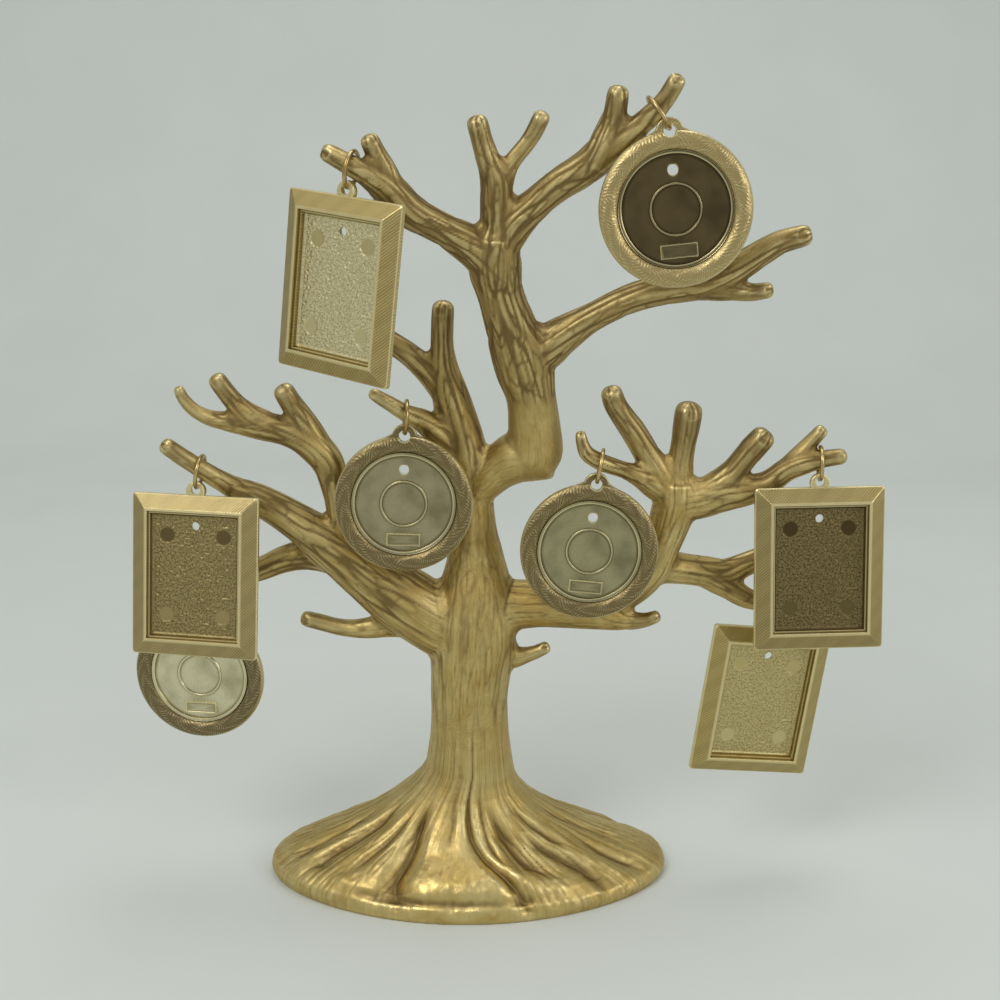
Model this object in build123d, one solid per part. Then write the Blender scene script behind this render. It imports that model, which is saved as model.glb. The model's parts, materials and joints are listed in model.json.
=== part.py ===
from build123d import *
import math
import os

os.makedirs("parts", exist_ok=True)

# A gold-toned cast tree that carries eight small photo frames on wire rings.
# Origin at the middle of the foot's underside, +Z up, +X to the viewer's right, front towards -Y.

# Driving sizes of the tree, in millimetres
reference_height = 250.0    # floor to the crown's middle twigs, which every limb share follows
tip_length_share = 0.80     # how far a twig's end runs past its last section, in radii of that section
tip_end_share = 0.84        # radius of a twig's end face, in radii of its last section

# Foot: an oval of roots that runs up into the trunk, its neck as wide as the trunk's first section
foot_half_width = 67.5
foot_half_depth = 38.5
foot_outline_points = 72
# each level: its share of the height up to the neck, of the spread from the neck out to the rim,
# and its step to the right as a share of the foot's half width
foot_level_shares = [
    (0.00, 0.985, 0.000),
    (0.05, 1.000, 0.000),
    (0.11, 0.985, -0.004),
    (0.18, 0.890, -0.012),
    (0.26, 0.720, -0.022),
    (0.35, 0.530, -0.030),
    (0.45, 0.345, -0.034),
    (0.55, 0.205, -0.034),
    (0.64, 0.110, -0.026),
    (0.72, 0.055, -0.012),
    (0.80, 0.026, 0.000),
    (0.90, 0.012, 0.000),
    (1.00, 0.000, 0.000),
]
# each valley between two roots: bearing from +X and half width in degrees, depth as a share of the radius
root_valley_shares = [
    (6, 9, 0.05),
    (42, 11, 0.08),
    (78, 10, 0.09),
    (112, 11, 0.08),
    (146, 10, 0.07),
    (194, 9, 0.09),
    (233, 8, 0.12),
    (268, 9, 0.03),
    (300, 8, 0.06),
    (322, 7, 0.10),
    (339, 7, 0.09),
]
root_fade_share = 0.35      # the valleys die out over this share of the foot's height, below the neck
root_start_share = 0.20     # and over this one, down to the rim
rim_valley_share = 0.15     # how much of each valley is left at the rim

# Trunk, from the foot's neck up to the fork: x, y, z and radius as shares of the reference height
trunk_shares = [
    (0.003, 0.000, 0.195, 0.0530),
    (0.003, 0.000, 0.225, 0.0513),
    (0.003, 0.000, 0.255, 0.0511),
    (0.005, 0.000, 0.285, 0.0530),
    (0.007, 0.000, 0.315, 0.0560),
    (0.008, 0.000, 0.345, 0.0575),
    (0.010, 0.000, 0.375, 0.0540),
    (0.012, 0.000, 0.405, 0.0480),
    (0.012, 0.000, 0.440, 0.0380),
    (0.009, 0.000, 0.480, 0.0310),
    (0.007, 0.000, 0.520, 0.0285),
    (0.007, 0.000, 0.550, 0.0280),
]

# Limbs, each from its root to its tip, in the same shares
crown_elbow_shares = [
    (0.012, -0.002, 0.535, 0.0250),
    (0.040, -0.008, 0.563, 0.0285),
    (0.068, -0.016, 0.582, 0.0330),
    (0.096, -0.022, 0.590, 0.0270),
]
crown_stem_shares = [
    (0.0880, -0.020, 0.588, 0.0350),
    (0.0860, -0.024, 0.625, 0.0325),
    (0.0820, -0.030, 0.660, 0.0310),
    (0.0745, -0.037, 0.695, 0.0365),
    (0.0640, -0.047, 0.730, 0.0355),
    (0.0540, -0.057, 0.760, 0.0300),
    (0.0430, -0.066, 0.795, 0.0280),
    (0.0370, -0.075, 0.830, 0.0330),
    (0.0385, -0.082, 0.862, 0.0280),
]
crown_left_shares = [
    (0.036, -0.078, 0.826, 0.0270),
    (0.010, -0.086, 0.850, 0.0240),
    (-0.025, -0.098, 0.8705, 0.0190),
    (-0.0577, -0.108, 0.8895, 0.0205),
    (-0.083, -0.118, 0.9155, 0.0205),
    (-0.103, -0.126, 0.931, 0.0158),
    (-0.1210, -0.129, 0.9405, 0.0126),
    (-0.147, -0.126, 0.954, 0.0107),
]
crown_left_twig_shares = [
    (-0.066, -0.114, 0.899, 0.0150),
    (-0.080, -0.119, 0.920, 0.0165),
    (-0.0865, -0.122, 0.938, 0.0142),
    (-0.0935, -0.124, 0.952, 0.0122),
    (-0.100, -0.126, 0.966, 0.0114),
]
crown_middle_shares = [
    (0.038, -0.080, 0.835, 0.0240),
    (0.040, -0.083, 0.870, 0.0210),
    (0.0395, -0.087, 0.900, 0.0196),
    (0.0385, -0.090, 0.925, 0.0190),
    (0.0310, -0.093, 0.945, 0.0150),
    (0.0240, -0.095, 0.965, 0.0126),
    (0.0187, -0.098, 0.985, 0.0124),
]
crown_middle_twig_shares = [
    (0.043, -0.089, 0.915, 0.0150),
    (0.051, -0.090, 0.934, 0.0125),
    (0.061, -0.092, 0.949, 0.0110),
    (0.071, -0.094, 0.961, 0.0104),
    (0.081, -0.096, 0.975, 0.0104),
    (0.0895, -0.099, 0.9915, 0.0104),
]
crown_right_shares = [
    (0.040, -0.079, 0.845, 0.0250),
    (0.062, -0.085, 0.876, 0.0225),
    (0.088, -0.093, 0.900, 0.0190),
    (0.110, -0.101, 0.919, 0.0190),
    (0.137, -0.106, 0.936, 0.0198),
    (0.158, -0.110, 0.953, 0.0208),
    (0.178, -0.115, 0.968, 0.0180),
    (0.197, -0.124, 0.983, 0.0144),
    (0.2155, -0.133, 1.0010, 0.0120),
    (0.2265, -0.138, 1.0150, 0.0110),
    (0.2350, -0.142, 1.0300, 0.0106),
]
crown_right_twig_shares = [
    (0.148, -0.112, 0.940, 0.0170),
    (0.160, -0.115, 0.962, 0.0185),
    (0.168, -0.117, 0.984, 0.0158),
    (0.172, -0.119, 1.001, 0.0138),
    (0.1738, -0.121, 1.0165, 0.0126),
]
upper_right_shares = [
    (0.074, -0.036, 0.708, 0.0300),
    (0.1000, -0.042, 0.7255, 0.0285),
    (0.1180, -0.047, 0.7385, 0.0240),
    (0.149, -0.053, 0.759, 0.0180),
    (0.187, -0.060, 0.780, 0.0176),
    (0.218, -0.064, 0.7915, 0.0184),
    (0.252, -0.068, 0.7985, 0.0190),
    (0.285, -0.071, 0.805, 0.0190),
    (0.318, -0.074, 0.820, 0.0178),
    (0.348, -0.077, 0.8395, 0.0158),
    (0.3705, -0.080, 0.853, 0.0142),
    (0.3945, -0.082, 0.860, 0.0132),
]
upper_right_twig_shares = [
    (0.270, -0.069, 0.800, 0.0160),
    (0.300, -0.070, 0.7995, 0.0165),
    (0.326, -0.069, 0.7955, 0.0132),
    (0.343, -0.068, 0.7935, 0.0108),
    (0.3585, -0.068, 0.7955, 0.0098),
]
middle_left_shares = [
    (0.008, 0.000, 0.535, 0.0265),
    (0.003, 0.000, 0.570, 0.0275),
    (-0.004, 0.000, 0.602, 0.0270),
    (-0.013, 0.000, 0.635, 0.0255),
    (-0.021, 0.001, 0.665, 0.0225),
    (-0.0270, 0.002, 0.695, 0.0180),
    (-0.0285, 0.002, 0.720, 0.0146),
    (-0.0280, 0.001, 0.745, 0.0142),
    (-0.0268, 0.000, 0.763, 0.0142),
]
middle_left_branch_shares = [
    (-0.020, 0.002, 0.655, 0.0200),
    (-0.045, 0.004, 0.686, 0.0178),
    (-0.067, 0.005, 0.7055, 0.0156),
    (-0.087, 0.005, 0.7195, 0.0145),
    (-0.107, 0.004, 0.735, 0.0125),
    (-0.122, 0.002, 0.750, 0.0112),
]
middle_left_hook_shares = [
    (-0.006, -0.002, 0.575, 0.0230),
    (-0.030, -0.009, 0.606, 0.0200),
    (-0.052, -0.024, 0.6285, 0.0150),
    (-0.0719, -0.043, 0.6423, 0.0112),
    (-0.093, -0.053, 0.6575, 0.0098),
    (-0.1090, -0.057, 0.6685, 0.0076),
]
left_limb_shares = [
    (0.002, 0.000, 0.330, 0.0430),
    (-0.040, -0.001, 0.358, 0.0450),
    (-0.085, -0.003, 0.390, 0.0440),
    (-0.130, -0.005, 0.426, 0.0375),
    (-0.170, -0.008, 0.460, 0.0320),
    (-0.207, -0.011, 0.488, 0.0255),
    (-0.240, -0.010, 0.510, 0.0222),
    (-0.2685, -0.014, 0.527, 0.0200),
    (-0.298, -0.026, 0.5470, 0.0144),
    (-0.3285, -0.041, 0.572, 0.0119),
    (-0.349, -0.047, 0.588, 0.0113),
    (-0.3655, -0.049, 0.601, 0.0108),
]
left_limb_low_shares = [
    (-0.120, 0.000, 0.416, 0.0300),
    (-0.165, 0.005, 0.442, 0.0270),
    (-0.205, 0.008, 0.445, 0.0215),
    (-0.237, 0.008, 0.438, 0.0180),
    (-0.267, 0.003, 0.4265, 0.0160),
    (-0.298, -0.006, 0.4170, 0.0132),
    (-0.325, -0.014, 0.4080, 0.0116),
    (-0.3455, -0.0185, 0.4035, 0.0110),
    (-0.3660, -0.021, 0.4030, 0.0104),
]
left_limb_hook_shares = [
    (-0.055, 0.000, 0.356, 0.0230),
    (-0.095, 0.000, 0.353, 0.0190),
    (-0.125, 0.000, 0.3470, 0.0150),
    (-0.150, 0.000, 0.3455, 0.0122),
    (-0.170, 0.000, 0.3480, 0.0113),
    (-0.190, 0.000, 0.3535, 0.0110),
    (-0.2085, 0.000, 0.3585, 0.0106),
]
left_upper_shares = [
    (-0.150, -0.006, 0.455, 0.0200),
    (-0.160, -0.008, 0.490, 0.0175),
    (-0.1635, -0.012, 0.520, 0.0162),
    (-0.166, -0.016, 0.545, 0.0180),
    (-0.172, -0.018, 0.572, 0.0205),
    (-0.186, -0.020, 0.592, 0.0215),
    (-0.206, -0.021, 0.607, 0.0195),
    (-0.230, -0.021, 0.6165, 0.0185),
    (-0.252, -0.021, 0.6215, 0.0185),
    (-0.275, -0.020, 0.6250, 0.0165),
    (-0.300, -0.019, 0.6275, 0.0125),
    (-0.3205, -0.019, 0.6320, 0.0102),
    (-0.337, -0.019, 0.6410, 0.0090),
    (-0.3485, -0.020, 0.6540, 0.0080),
    (-0.3537, -0.021, 0.6660, 0.0070),
]
left_upper_twig_shares = [
    (-0.248, -0.021, 0.625, 0.0160),
    (-0.266, -0.022, 0.634, 0.0160),
    (-0.283, -0.022, 0.6490, 0.0134),
    (-0.2945, -0.023, 0.6640, 0.0122),
    (-0.3040, -0.024, 0.6780, 0.0119),
]
left_upper_end_shares = [
    (-0.182, -0.019, 0.590, 0.0190),
    (-0.194, -0.020, 0.6135, 0.0180),
    (-0.204, -0.021, 0.6325, 0.0162),
    (-0.2140, -0.022, 0.6480, 0.0146),
    (-0.2225, -0.023, 0.6635, 0.0136),
]
right_limb_shares = [
    (0.018, 0.000, 0.372, 0.0400),
    (0.060, -0.002, 0.379, 0.0340),
    (0.095, -0.005, 0.381, 0.0310),
    (0.130, -0.009, 0.378, 0.0275),
    (0.165, -0.013, 0.373, 0.0235),
    (0.195, -0.017, 0.3675, 0.0180),
    (0.216, -0.020, 0.3640, 0.0122),
    (0.232, -0.022, 0.3655, 0.0098),
    (0.2435, -0.024, 0.3700, 0.0086),
]
right_limb_rise_shares = [
    (0.150, -0.008, 0.376, 0.0220),
    (0.190, -0.006, 0.3920, 0.0260),
    (0.220, -0.008, 0.4140, 0.0270),
    (0.240, -0.012, 0.4400, 0.0265),
    (0.251, -0.017, 0.4700, 0.0255),
    (0.260, -0.020, 0.5000, 0.0275),
    (0.266, -0.021, 0.5250, 0.0290),
    (0.266, -0.021, 0.5500, 0.0260),
]
right_fan_shares = [
    (0.256, -0.020, 0.519, 0.0220),
    (0.276, -0.021, 0.524, 0.0255),
    (0.298, -0.022, 0.529, 0.0265),
    (0.326, -0.023, 0.5360, 0.0245),
    (0.355, -0.025, 0.5400, 0.0200),
    (0.380, -0.028, 0.5500, 0.0165),
    (0.401, -0.033, 0.5680, 0.0150),
    (0.420, -0.038, 0.5780, 0.0150),
    (0.4407, -0.043, 0.5838, 0.0118),
    (0.4640, -0.045, 0.5880, 0.0103),
]
right_fan_end_shares = [
    (0.398, -0.032, 0.5680, 0.0120),
    (0.415, -0.034, 0.5865, 0.0118),
    (0.4285, -0.034, 0.6030, 0.0098),
    (0.4405, -0.034, 0.6170, 0.0088),
]
right_fan_third_shares = [
    (0.294, -0.023, 0.529, 0.0210),
    (0.318, -0.024, 0.5455, 0.0200),
    (0.337, -0.026, 0.5640, 0.0170),
    (0.3490, -0.028, 0.5815, 0.0160),
    (0.3590, -0.029, 0.5950, 0.0164),
    (0.3685, -0.030, 0.6065, 0.0158),
]
right_fan_second_shares = [
    (0.268, -0.021, 0.535, 0.0200),
    (0.2685, -0.021, 0.558, 0.0190),
    (0.2705, -0.022, 0.580, 0.0165),
    (0.2730, -0.023, 0.600, 0.0158),
    (0.2755, -0.024, 0.620, 0.0172),
    (0.2775, -0.025, 0.6380, 0.0176),
]
right_fan_first_shares = [
    (0.262, -0.022, 0.534, 0.0200),
    (0.246, -0.022, 0.5580, 0.0205),
    (0.2285, -0.023, 0.5850, 0.0172),
    (0.2110, -0.025, 0.6140, 0.0160),
    (0.1965, -0.027, 0.6345, 0.0148),
    (0.1865, -0.028, 0.6500, 0.0144),
    (0.1820, -0.029, 0.6620, 0.0138),
]
right_fan_hook_shares = [
    (0.258, -0.024, 0.5330, 0.0180),
    (0.238, -0.027, 0.5470, 0.0185),
    (0.219, -0.033, 0.5595, 0.0145),
    (0.198, -0.040, 0.5700, 0.0112),
    (0.1830, -0.049, 0.5770, 0.0110),
    (0.1680, -0.056, 0.5840, 0.0112),
    (0.1515, -0.058, 0.5940, 0.0100),
    (0.1452, -0.058, 0.6060, 0.0082),
    (0.1425, -0.058, 0.6175, 0.0068),
]
right_lower_shares = [
    (0.232, -0.009, 0.4320, 0.0220),
    (0.260, -0.003, 0.4310, 0.0220),
    (0.286, 0.002, 0.4265, 0.0205),
    (0.312, 0.006, 0.4215, 0.0205),
    (0.337, 0.009, 0.4190, 0.0195),
    (0.362, 0.011, 0.4290, 0.0165),
    (0.387, 0.012, 0.4400, 0.0145),
    (0.4120, 0.012, 0.4480, 0.0125),
    (0.4330, 0.011, 0.4530, 0.0112),
]
right_lower_twig_shares = [
    (0.310, 0.005, 0.4190, 0.0180),
    (0.340, 0.005, 0.4020, 0.0170),
    (0.363, 0.002, 0.3880, 0.0142),
    (0.384, -0.002, 0.3825, 0.0120),
    (0.4045, -0.006, 0.3840, 0.0110),
    (0.4220, -0.009, 0.3910, 0.0103),
]
trunk_hook_shares = [
    (0.030, -0.004, 0.314, 0.0200),
    (0.058, -0.006, 0.3080, 0.0165),
    (0.0760, -0.007, 0.3105, 0.0118),
    (0.0900, -0.008, 0.3150, 0.0094),
    (0.1020, -0.008, 0.3210, 0.0086),
]

# Wire rings
ring_outer_diameter = 11.4
wire_diameter = 1.3
ring_gap = 0.22             # between a ring and its twig
hole_gap = 0.35             # between the wire and the rim of the ear's hole

# Oblong frames
oblong_width = 40.5
oblong_height = 51.2
oblong_corner_radius = 1.2
oblong_edge_thickness = 1.5
oblong_lip_thickness = 4.0
oblong_bevel_width = 4.6
oblong_lip_width = 0.8
oblong_step_width = 0.7     # from the lip down to a narrow step
oblong_step_depth = 1.2
oblong_cove_width = 1.2     # from the step down to the floor
oblong_floor_thickness = 1.2
oblong_ear_radius = 3.1
oblong_ear_thickness = 1.6
oblong_ear_rise = 1.8       # hole's middle above the frame's top edge
oblong_ear_drop = 0.6       # ear's middle below its hole's middle
oblong_ear_hole_diameter = 3.1
oblong_floor_hole_diameter = 2.6
oblong_floor_hole_drop = 9.8
oblong_mark_diameter = 4.8
oblong_mark_depth = 0.3
oblong_mark_spacing = 18.2
oblong_mark_inset = 13.0

# Round frames
round_diameter = 43.0
round_edge_thickness = 1.6
round_rim_thickness = 2.8
round_rim_inset = 0.3       # from the edge in to where the rim's dome rises
round_recess_diameter = 32.4
round_floor_thickness = 1.2
round_ear_radius = 3.6
round_ear_inset = 0.2       # hole's middle inside the frame's edge
round_ear_drop = 0.5        # ear's middle below its hole's middle
round_ear_fillet_radius = 4.5
round_ear_hole_diameter = 3.5
round_floor_hole_diameter = 3.0
round_floor_hole_rise = 10.8
round_seat_diameter = 14.8
round_seat_width = 0.7
round_seat_height = 0.3
round_plaque_width = 10.6
round_plaque_height = 4.0
round_plaque_drop = 11.4
round_plaque_thickness = 0.4

cut_overrun = 2.0           # how far each cut runs past the face that it opens

# How each frame hangs: the limb and section its ring goes round, the ring's lean to the right,
# its tip to the front and its turn to the left, then the same three angles of the frame, in degrees
hangers = [
    ("oblong", crown_left_shares, 6, 11, 15, 12, 5.5, 3, 33),
    ("round", crown_right_shares, 8, -37, 15, 8, -6.0, 4, 0),
    ("oblong", left_limb_shares, 9, 12.5, 20, -1, 1.0, 8, 8),
    ("round", left_limb_low_shares, 7, 6, 8, 4, 0.0, 1, 8),
    ("round", middle_left_hook_shares, 3, 6.0, 15, -8, 1.5, 3, 0),
    ("round", right_fan_hook_shares, 5, 11, 15, 3, 5.4, 3, 0),
    ("oblong", right_fan_shares, 8, 0, 16, 6, -0.8, 7, -2),
    ("oblong", right_lower_twig_shares, 4, 5, 6, -6, 7.5, -1, -10),
]


def centre_of(section):
    """The middle of one section of a limb."""
    x, y, z, _ = section
    return Vector(x, y, z) * reference_height


def radius_of(section):
    """The radius of one section of a limb."""
    return section[-1] * reference_height


def direction_at(shares, index):
    """The way a limb runs at one of its sections."""
    before = centre_of(shares[max(index - 1, 0)])
    after = centre_of(shares[min(index + 1, len(shares) - 1)])
    return (after - before).normalized()


def section_wire(centre, direction, radius):
    """A round section square to the limb, its seam always on the back."""
    back = Vector(0, 1, 0)
    seam = back - direction * back.dot(direction)
    return Wire.make_circle(radius, Plane(origin=centre, x_dir=seam, z_dir=direction))


def make_tube(shares):
    """A tapering length of limb through its sections, flat at both ends."""
    sections = []
    for index, section in enumerate(shares):
        sections.append(section_wire(centre_of(section), direction_at(shares, index), radius_of(section)))
    return Solid.make_loft(sections)


def make_twig(shares):
    """A tapering length of limb whose free end is rounded over."""
    sections = []
    for index, section in enumerate(shares):
        sections.append(section_wire(centre_of(section), direction_at(shares, index), radius_of(section)))
    heading = direction_at(shares, len(shares) - 1)
    last_radius = radius_of(shares[-1])
    end = centre_of(shares[-1]) + heading * last_radius * tip_length_share
    sections.append(section_wire(end, heading, last_radius * tip_end_share))
    return Solid.make_loft(sections)


def join(first, *others):
    """One solid of a limb and the twigs that grow from it."""
    return first.fuse(*others).solids()[0]


def meet(limb, *carriers):
    """A limb cut back to the surfaces that it grows from."""
    for carrier in carriers:
        limb = limb.cut(carrier).solids().sort_by(SortBy.VOLUME)[-1]
    return limb


def make_foot():
    """The spread of roots: lobed ovals from the floor up to the trunk."""
    neck = centre_of(trunk_shares[0])
    neck_radius = radius_of(trunk_shares[0])
    levels = []
    for height_share, spread_share, step_share in foot_level_shares:
        half_width = neck_radius + (foot_half_width - neck_radius) * spread_share
        half_depth = neck_radius + (foot_half_depth - neck_radius) * spread_share
        start = min(1, rim_valley_share + (1 - rim_valley_share) * height_share / root_start_share)
        fade = min(start, (1 - height_share) / root_fade_share)
        points = []
        for step in range(foot_outline_points):
            bearing = 360 * step / foot_outline_points
            across = math.cos(math.radians(bearing))
            along = math.sin(math.radians(bearing))
            reach = half_width * half_depth / math.hypot(half_depth * across, half_width * along)
            for valley, valley_width, depth_share in root_valley_shares:
                turn = (bearing - valley + 180) % 360 - 180
                reach *= 1 - depth_share * fade * math.exp(-((turn / valley_width) ** 2))
            shift = neck.X * height_share + foot_half_width * step_share
            points.append(Vector(shift + reach * across, reach * along, neck.Z * height_share))
        if spread_share == 0:
            levels.append(section_wire(Vector(neck.X, 0, neck.Z), Vector(0, 0, 1), neck_radius))
        else:
            levels.append(Wire([Edge.make_spline(points, periodic=True)]))
    return Solid.make_loft(levels)


def make_tree():
    """Fourteen lengths of the casting, each cut back to the ones that carry it."""
    trunk = make_tube(trunk_shares)
    stem = join(make_tube(crown_elbow_shares), make_tube(crown_stem_shares))
    crown_left = join(make_twig(crown_left_shares), make_twig(crown_left_twig_shares))
    crown_middle = join(make_twig(crown_middle_shares), make_twig(crown_middle_twig_shares))
    crown_right = join(make_twig(crown_right_shares), make_twig(crown_right_twig_shares))
    upper_right = join(make_twig(upper_right_shares), make_twig(upper_right_twig_shares))
    middle_left = join(
        make_twig(middle_left_shares),
        make_twig(middle_left_branch_shares),
        make_twig(middle_left_hook_shares),
    )
    left = join(make_twig(left_limb_shares), make_twig(left_limb_low_shares), make_twig(left_limb_hook_shares))
    left_upper = join(
        make_twig(left_upper_shares),
        make_twig(left_upper_twig_shares),
        make_twig(left_upper_end_shares),
    )
    right = join(make_twig(right_limb_shares), make_tube(right_limb_rise_shares))
    right_fan = join(
        make_twig(right_fan_shares),
        make_twig(right_fan_end_shares),
        make_twig(right_fan_third_shares),
        make_twig(right_fan_second_shares),
        make_twig(right_fan_first_shares),
        make_twig(right_fan_hook_shares),
    )
    right_lower = join(make_twig(right_lower_shares), make_twig(right_lower_twig_shares))
    return {
        "root_foot": make_foot(),
        "trunk": trunk,
        "crown_stem": meet(stem, trunk),
        "crown_left_limb": meet(crown_left, stem),
        "crown_middle_limb": meet(crown_middle, stem, crown_left),
        "crown_right_limb": meet(crown_right, stem, crown_left, crown_middle),
        "upper_right_limb": meet(upper_right, stem),
        "middle_left_limb": meet(middle_left, trunk, stem),
        "left_limb": meet(left, trunk),
        "left_upper_limb": meet(left_upper, left),
        "right_limb": meet(right, trunk),
        "right_fan_limb": meet(right_fan, right),
        "right_lower_limb": meet(right_lower, right),
        "trunk_hook": meet(make_twig(trunk_hook_shares), trunk),
    }


def oblong_outline(inset, height, corner_radius):
    """The oblong frame's outline, drawn in by an inset and lifted off its back."""
    outline = RectangleRounded(oblong_width - 2 * inset, oblong_height - 2 * inset, corner_radius)
    return (Pos(0, -oblong_ear_rise - oblong_height / 2, height) * outline).wire()


def make_oblong_frame():
    """A bevelled border round a stepped well, its back at zero and its ear's hole at the origin."""
    lip_inset = oblong_bevel_width
    well_inset = lip_inset + oblong_lip_width
    step_inset = well_inset + oblong_step_width
    floor_inset = step_inset + oblong_cove_width
    edge = oblong_outline(0, oblong_edge_thickness, oblong_corner_radius)
    back = oblong_outline(0, 0, oblong_corner_radius)
    lip = oblong_outline(lip_inset, oblong_lip_thickness, oblong_corner_radius)
    frame = Part() + Solid.make_loft([back, edge, lip], ruled=True)
    frame += Pos(0, -oblong_ear_drop) * extrude(Circle(oblong_ear_radius), oblong_ear_thickness)
    step_height = oblong_lip_thickness - oblong_step_depth
    frame -= Part() + Solid.make_loft([
        oblong_outline(well_inset, oblong_lip_thickness + cut_overrun, oblong_corner_radius),
        oblong_outline(well_inset, oblong_lip_thickness, oblong_corner_radius),
        oblong_outline(step_inset, step_height, oblong_corner_radius),
        oblong_outline(floor_inset, oblong_floor_thickness, oblong_corner_radius),
    ], ruled=True)
    through = oblong_lip_thickness + 2 * cut_overrun
    frame -= Pos(0, 0, -cut_overrun) * extrude(Circle(oblong_ear_hole_diameter / 2), through)
    floor_hole = Pos(0, -oblong_ear_rise - oblong_floor_hole_drop, -cut_overrun)
    frame -= floor_hole * extrude(Circle(oblong_floor_hole_diameter / 2), through)
    mark = extrude(Circle(oblong_mark_diameter / 2), oblong_lip_thickness)
    for side in (-1, 1):
        for drop in (oblong_mark_inset, oblong_height - oblong_mark_inset):
            place = Pos(
                side * oblong_mark_spacing / 2,
                -oblong_ear_rise - drop,
                oblong_floor_thickness - oblong_mark_depth,
            )
            frame -= place * mark
    return frame


def make_round_frame():
    """A domed rim round a flat well, its back at zero and its ear's hole at the origin."""
    outer = round_diameter / 2
    inner = round_recess_diameter / 2
    ear_reach = outer - round_ear_inset
    outline = Circle(outer) + Pos(0, ear_reach - round_ear_drop) * Circle(round_ear_radius)
    outline = fillet(outline.vertices(), round_ear_fillet_radius)
    frame = extrude(outline, round_edge_thickness)
    dome = outer - round_rim_inset
    crest = Line((inner, 0), (dome, 0))
    crest += Line((dome, 0), (dome, round_edge_thickness))
    crest += ThreePointArc(
        (dome, round_edge_thickness),
        ((inner + dome) / 2, round_rim_thickness),
        (inner, round_edge_thickness),
    )
    crest += Line((inner, round_edge_thickness), (inner, 0))
    frame += revolve(Plane.XZ * make_face(crest), Axis.Z)
    well = extrude(Circle(inner), round_rim_thickness)
    frame -= Pos(0, 0, round_floor_thickness) * well
    seat_radius = round_seat_diameter / 2
    seat = extrude(Circle(seat_radius) - Circle(seat_radius - round_seat_width), round_seat_height)
    frame += Pos(0, 0, round_floor_thickness) * seat
    plaque = extrude(Rectangle(round_plaque_width, round_plaque_height), round_plaque_thickness)
    frame += Pos(0, -round_plaque_drop, round_floor_thickness) * plaque
    through = round_rim_thickness + 2 * cut_overrun
    ear_hole = extrude(Circle(round_ear_hole_diameter / 2), through)
    frame -= Pos(0, ear_reach, -cut_overrun) * ear_hole
    floor_hole = extrude(Circle(round_floor_hole_diameter / 2), through)
    frame -= Pos(0, round_floor_hole_rise, -cut_overrun) * floor_hole
    return Pos(0, -ear_reach, 0) * frame


def attitude(lean, tip, turn):
    """Leaned to the right at the top, then tipped to the front at the foot, then turned to the left."""
    return Rot(Z=-turn) * Rot(X=-tip) * Rot(Y=lean)


def point_of(location):
    """The place that a location moves the origin to."""
    return Vector(location.position)


def hang_of(hanger):
    """A ring's middle, its axis, its upward direction and the lowest point of its wire's centre line."""
    _, shares, index, lean, tip, turn, _, _, _ = hanger
    standing = attitude(lean, tip, turn)
    upward = point_of(standing * Pos(0, 0, 1))
    axis = point_of(standing * Pos(1, 0, 0))
    ring_radius = (ring_outer_diameter - wire_diameter) / 2
    along = direction_at(shares, index).dot(upward)
    rise = (radius_of(shares[index]) + wire_diameter / 2 + ring_gap) / math.sqrt(1 - along**2)
    centre = centre_of(shares[index]) + upward * (rise - ring_radius)
    return centre, axis, upward, centre - upward * ring_radius


def make_ring(hanger):
    """A wire ring round its twig, resting on the twig's top."""
    centre, axis, _, _ = hang_of(hanger)
    ring_radius = (ring_outer_diameter - wire_diameter) / 2
    return Solid.make_torus(ring_radius, wire_diameter / 2, Plane(origin=centre, z_dir=axis))


def make_frame(hanger):
    """A frame whose ear hangs on the bottom of its ring's wire."""
    shape, _, _, _, _, _, lean, tip, turn = hanger
    _, _, _, low_point = hang_of(hanger)
    standing = attitude(lean, tip, turn)
    if shape == "oblong":
        frame = make_oblong_frame()
        hole_radius = oblong_ear_hole_diameter / 2
        ear_thickness = oblong_ear_thickness
    else:
        frame = make_round_frame()
        hole_radius = round_ear_hole_diameter / 2
        ear_thickness = round_edge_thickness
    upward = point_of(standing * Pos(0, 0, 1))
    hole = low_point - upward * (hole_radius - wire_diameter / 2 - hole_gap)
    place = Pos(hole.X, hole.Y, hole.Z) * standing * Plane.XZ.location * Pos(0, 0, -ear_thickness / 2)
    return (place * frame).solid()


solids = make_tree()
for number, hanger in enumerate(hangers, start=1):
    solids[f"ring_{number}"] = make_ring(hanger)
    solids[f"frame_{number}"] = make_frame(hanger)

for name, solid in solids.items():
    solid.label = name
    export_step(solid, f"parts/{name}.step")
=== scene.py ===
import json
import math

import bmesh
import bpy
import numpy as np
from mathutils import Matrix, Vector


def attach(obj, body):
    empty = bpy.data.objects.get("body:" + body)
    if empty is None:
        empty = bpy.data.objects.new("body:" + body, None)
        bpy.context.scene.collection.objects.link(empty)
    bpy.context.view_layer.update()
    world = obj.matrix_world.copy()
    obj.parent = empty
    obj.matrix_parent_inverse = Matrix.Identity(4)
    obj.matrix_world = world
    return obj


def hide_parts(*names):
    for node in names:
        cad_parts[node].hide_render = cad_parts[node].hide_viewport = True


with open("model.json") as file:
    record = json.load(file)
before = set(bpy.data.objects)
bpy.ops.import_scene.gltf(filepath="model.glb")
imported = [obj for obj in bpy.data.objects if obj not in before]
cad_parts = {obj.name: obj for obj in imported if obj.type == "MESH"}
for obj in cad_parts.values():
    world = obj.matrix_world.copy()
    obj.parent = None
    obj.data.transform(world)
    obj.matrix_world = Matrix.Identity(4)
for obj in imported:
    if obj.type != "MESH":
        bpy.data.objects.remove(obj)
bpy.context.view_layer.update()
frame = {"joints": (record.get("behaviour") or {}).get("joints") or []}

# The view: the stand from its front, a little above its middle, at arm's length from the camera.
# The lens is a normal one, so the near twigs look hardly larger than the far ones.
camera_place = (0.0109, -0.4342, 0.2484)
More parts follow.
